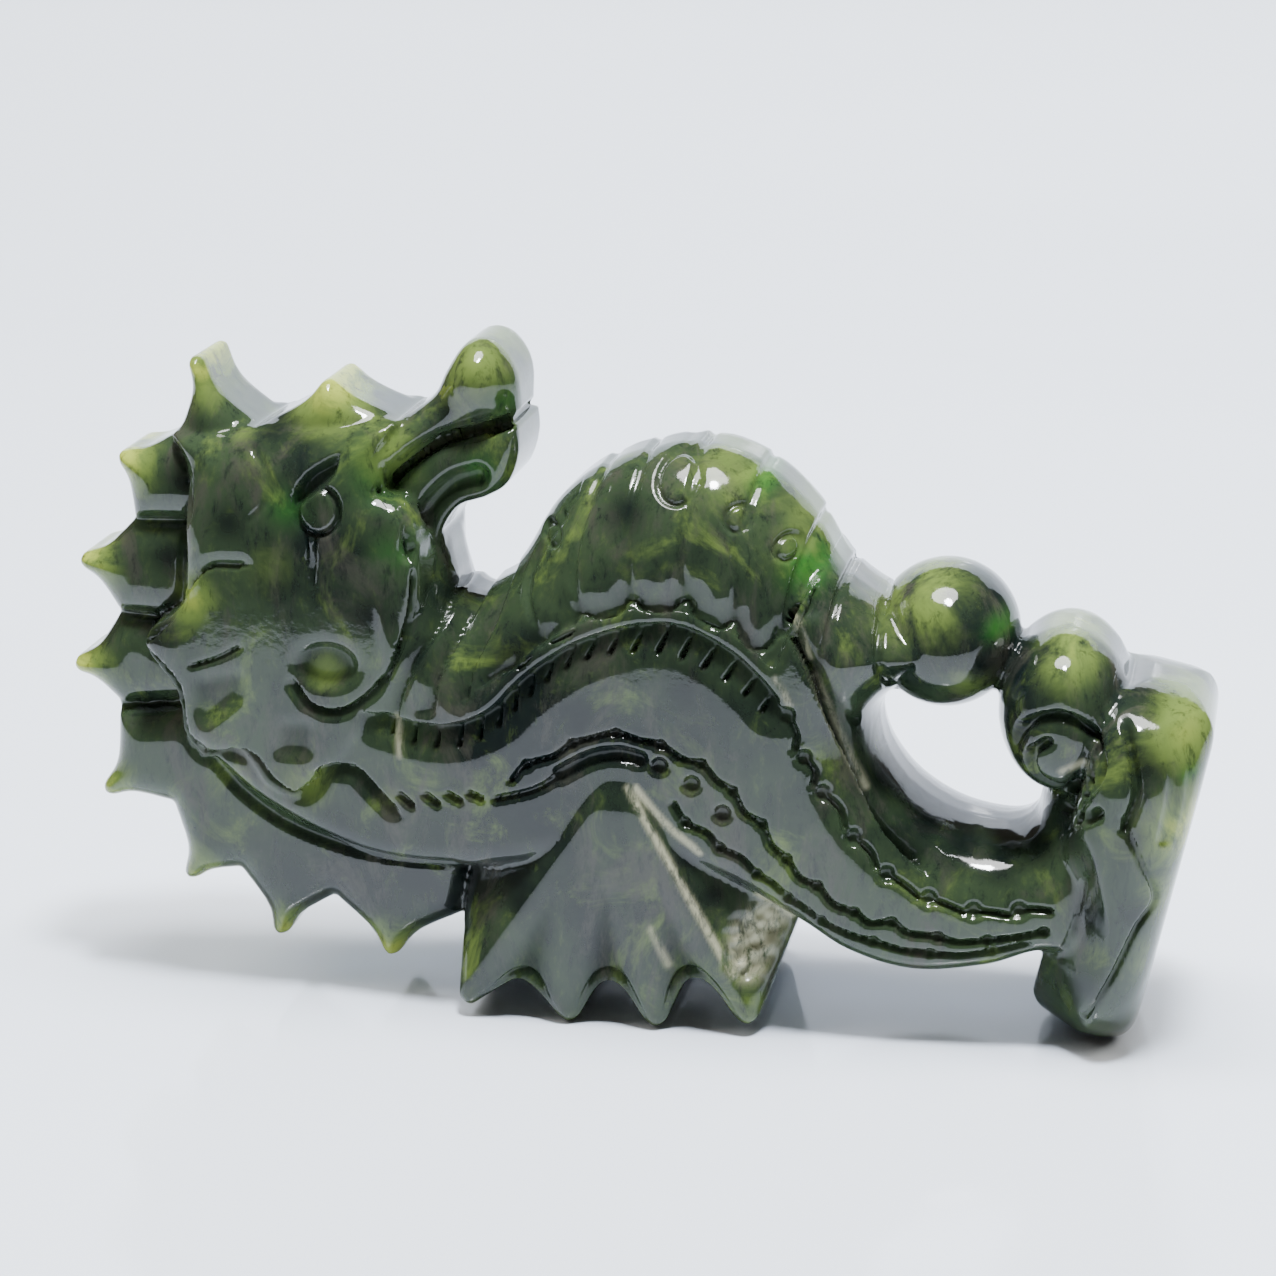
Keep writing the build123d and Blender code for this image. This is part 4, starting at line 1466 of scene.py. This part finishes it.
def sweep_floor():
    """A sheet that lies flat and curves up behind the object."""
    bm = bmesh.new()
    line = [(FRONT_EDGE, 0.0)]
    for turn in range(0, 91, 5):
        a = math.radians(turn)
        line.append((BACK_EDGE - BEND + BEND * math.sin(a), BEND - BEND * math.cos(a)))
    line.append((BACK_EDGE, WALL_TOP))
    chain = [bm.verts.new((-SHEET_HALF, y, z)) for y, z in line]
    edges = [bm.edges.new(pair) for pair in zip(chain, chain[1:])]
    grown = bmesh.ops.extrude_edge_only(bm, edges=edges)
    moved = [v for v in grown["geom"] if isinstance(v, bmesh.types.BMVert)]
    bmesh.ops.translate(bm, vec=(2 * SHEET_HALF, 0, 0), verts=moved)
    sheet = as_object("sweep", bm)
    sheet.data.shade_smooth()
    return sheet


sweep = sweep_floor()
pale = plain_material("pale_sheet", (0.71, 0.775, 0.88), 0.10, 1.35)
sweep.data.materials.append(pale)
TABLE_HALF, TABLE_TOP = 2.5, -0.0008
bm = bmesh.new()
bmesh.ops.create_grid(bm, x_segments=1, y_segments=1, size=TABLE_HALF)
bmesh.ops.translate(bm, vec=(0, 0, TABLE_TOP), verts=bm.verts)
table = as_object("table", bm)
table.data.materials.append(pale)
table.visible_glossy = False
print("sheet:", len(sweep.data.polygons), "faces")

# %% [markdown]
# ## Lights
#
# One round light above gives the single small highlight on each dome. Two larger warm
# ones at the sides fill the shadows, and no reflection shows them. The last one
# lights the backdrop. The room round them is dim.

# %% Lights
FIGURE = (0, 0, 0.02)
WARM, COOL = (1.0, 0.93, 0.82), (0.93, 0.96, 1.0)


def soft_light(name, place, aim, size, power, colour=(1, 1, 1)):
    """A round soft light that points at a place."""
    lamp = bpy.data.lights.new(name, "AREA")
    lamp.shape = "DISK"
    lamp.size = size
    lamp.energy = power
    lamp.color = colour
    holder = bpy.data.objects.new(name, lamp)
    holder.location = place
    holder.rotation_euler = (Vector(aim) - Vector(place)).to_track_quat("-Z", "Y").to_euler()
    bpy.context.scene.collection.objects.link(holder)
    return holder


soft_light("key", (0.08, -0.10, 0.62), FIGURE, 0.11, 7.0, COOL)
for name, place in (("left", (-0.55, -0.05, 0.55)), ("right", (0.60, 0.15, 0.60))):
    side_light = soft_light(name, place, FIGURE, 0.45, 4.5, WARM)
    side_light.visible_glossy = False
soft_light("wall", (0.0, 0.05, 0.85), (0, 0.5, 0.25), 0.5, 14.0)
world = bpy.data.worlds.new("room")
world.use_nodes = True
world.node_tree.nodes["Background"].inputs["Color"].default_value = (1.0, 0.86, 0.70, 1)
world.node_tree.nodes["Background"].inputs["Strength"].default_value = 0.12
bpy.context.scene.world = world

# %% [markdown]
# ## Camera
#
# The camera looks a little down and from slightly to the right, through a long lens,
# as one would take a small carving on a table. It is placed by two angles and a
# distance from the point it looks at, so each can be changed by itself.

# %% Camera
AIM = Vector((0, 0, 0.0313))
AZIMUTH, ELEVATION, DISTANCE = math.radians(11), math.radians(16), 0.301
lens = bpy.data.cameras.new("camera")
lens.lens = 100
lens.sensor_width = 36
eye = bpy.data.objects.new("camera", lens)
away = Vector((
    math.sin(AZIMUTH) * math.cos(ELEVATION), -math.cos(AZIMUTH) * math.cos(ELEVATION),
    math.sin(ELEVATION),
))
eye.location = AIM + away * DISTANCE
eye.rotation_euler = (-away).to_track_quat("-Z", "Y").to_euler()
bpy.context.scene.collection.objects.link(eye)
bpy.context.scene.camera = eye
print("camera:", [round(v, 3) for v in eye.location])
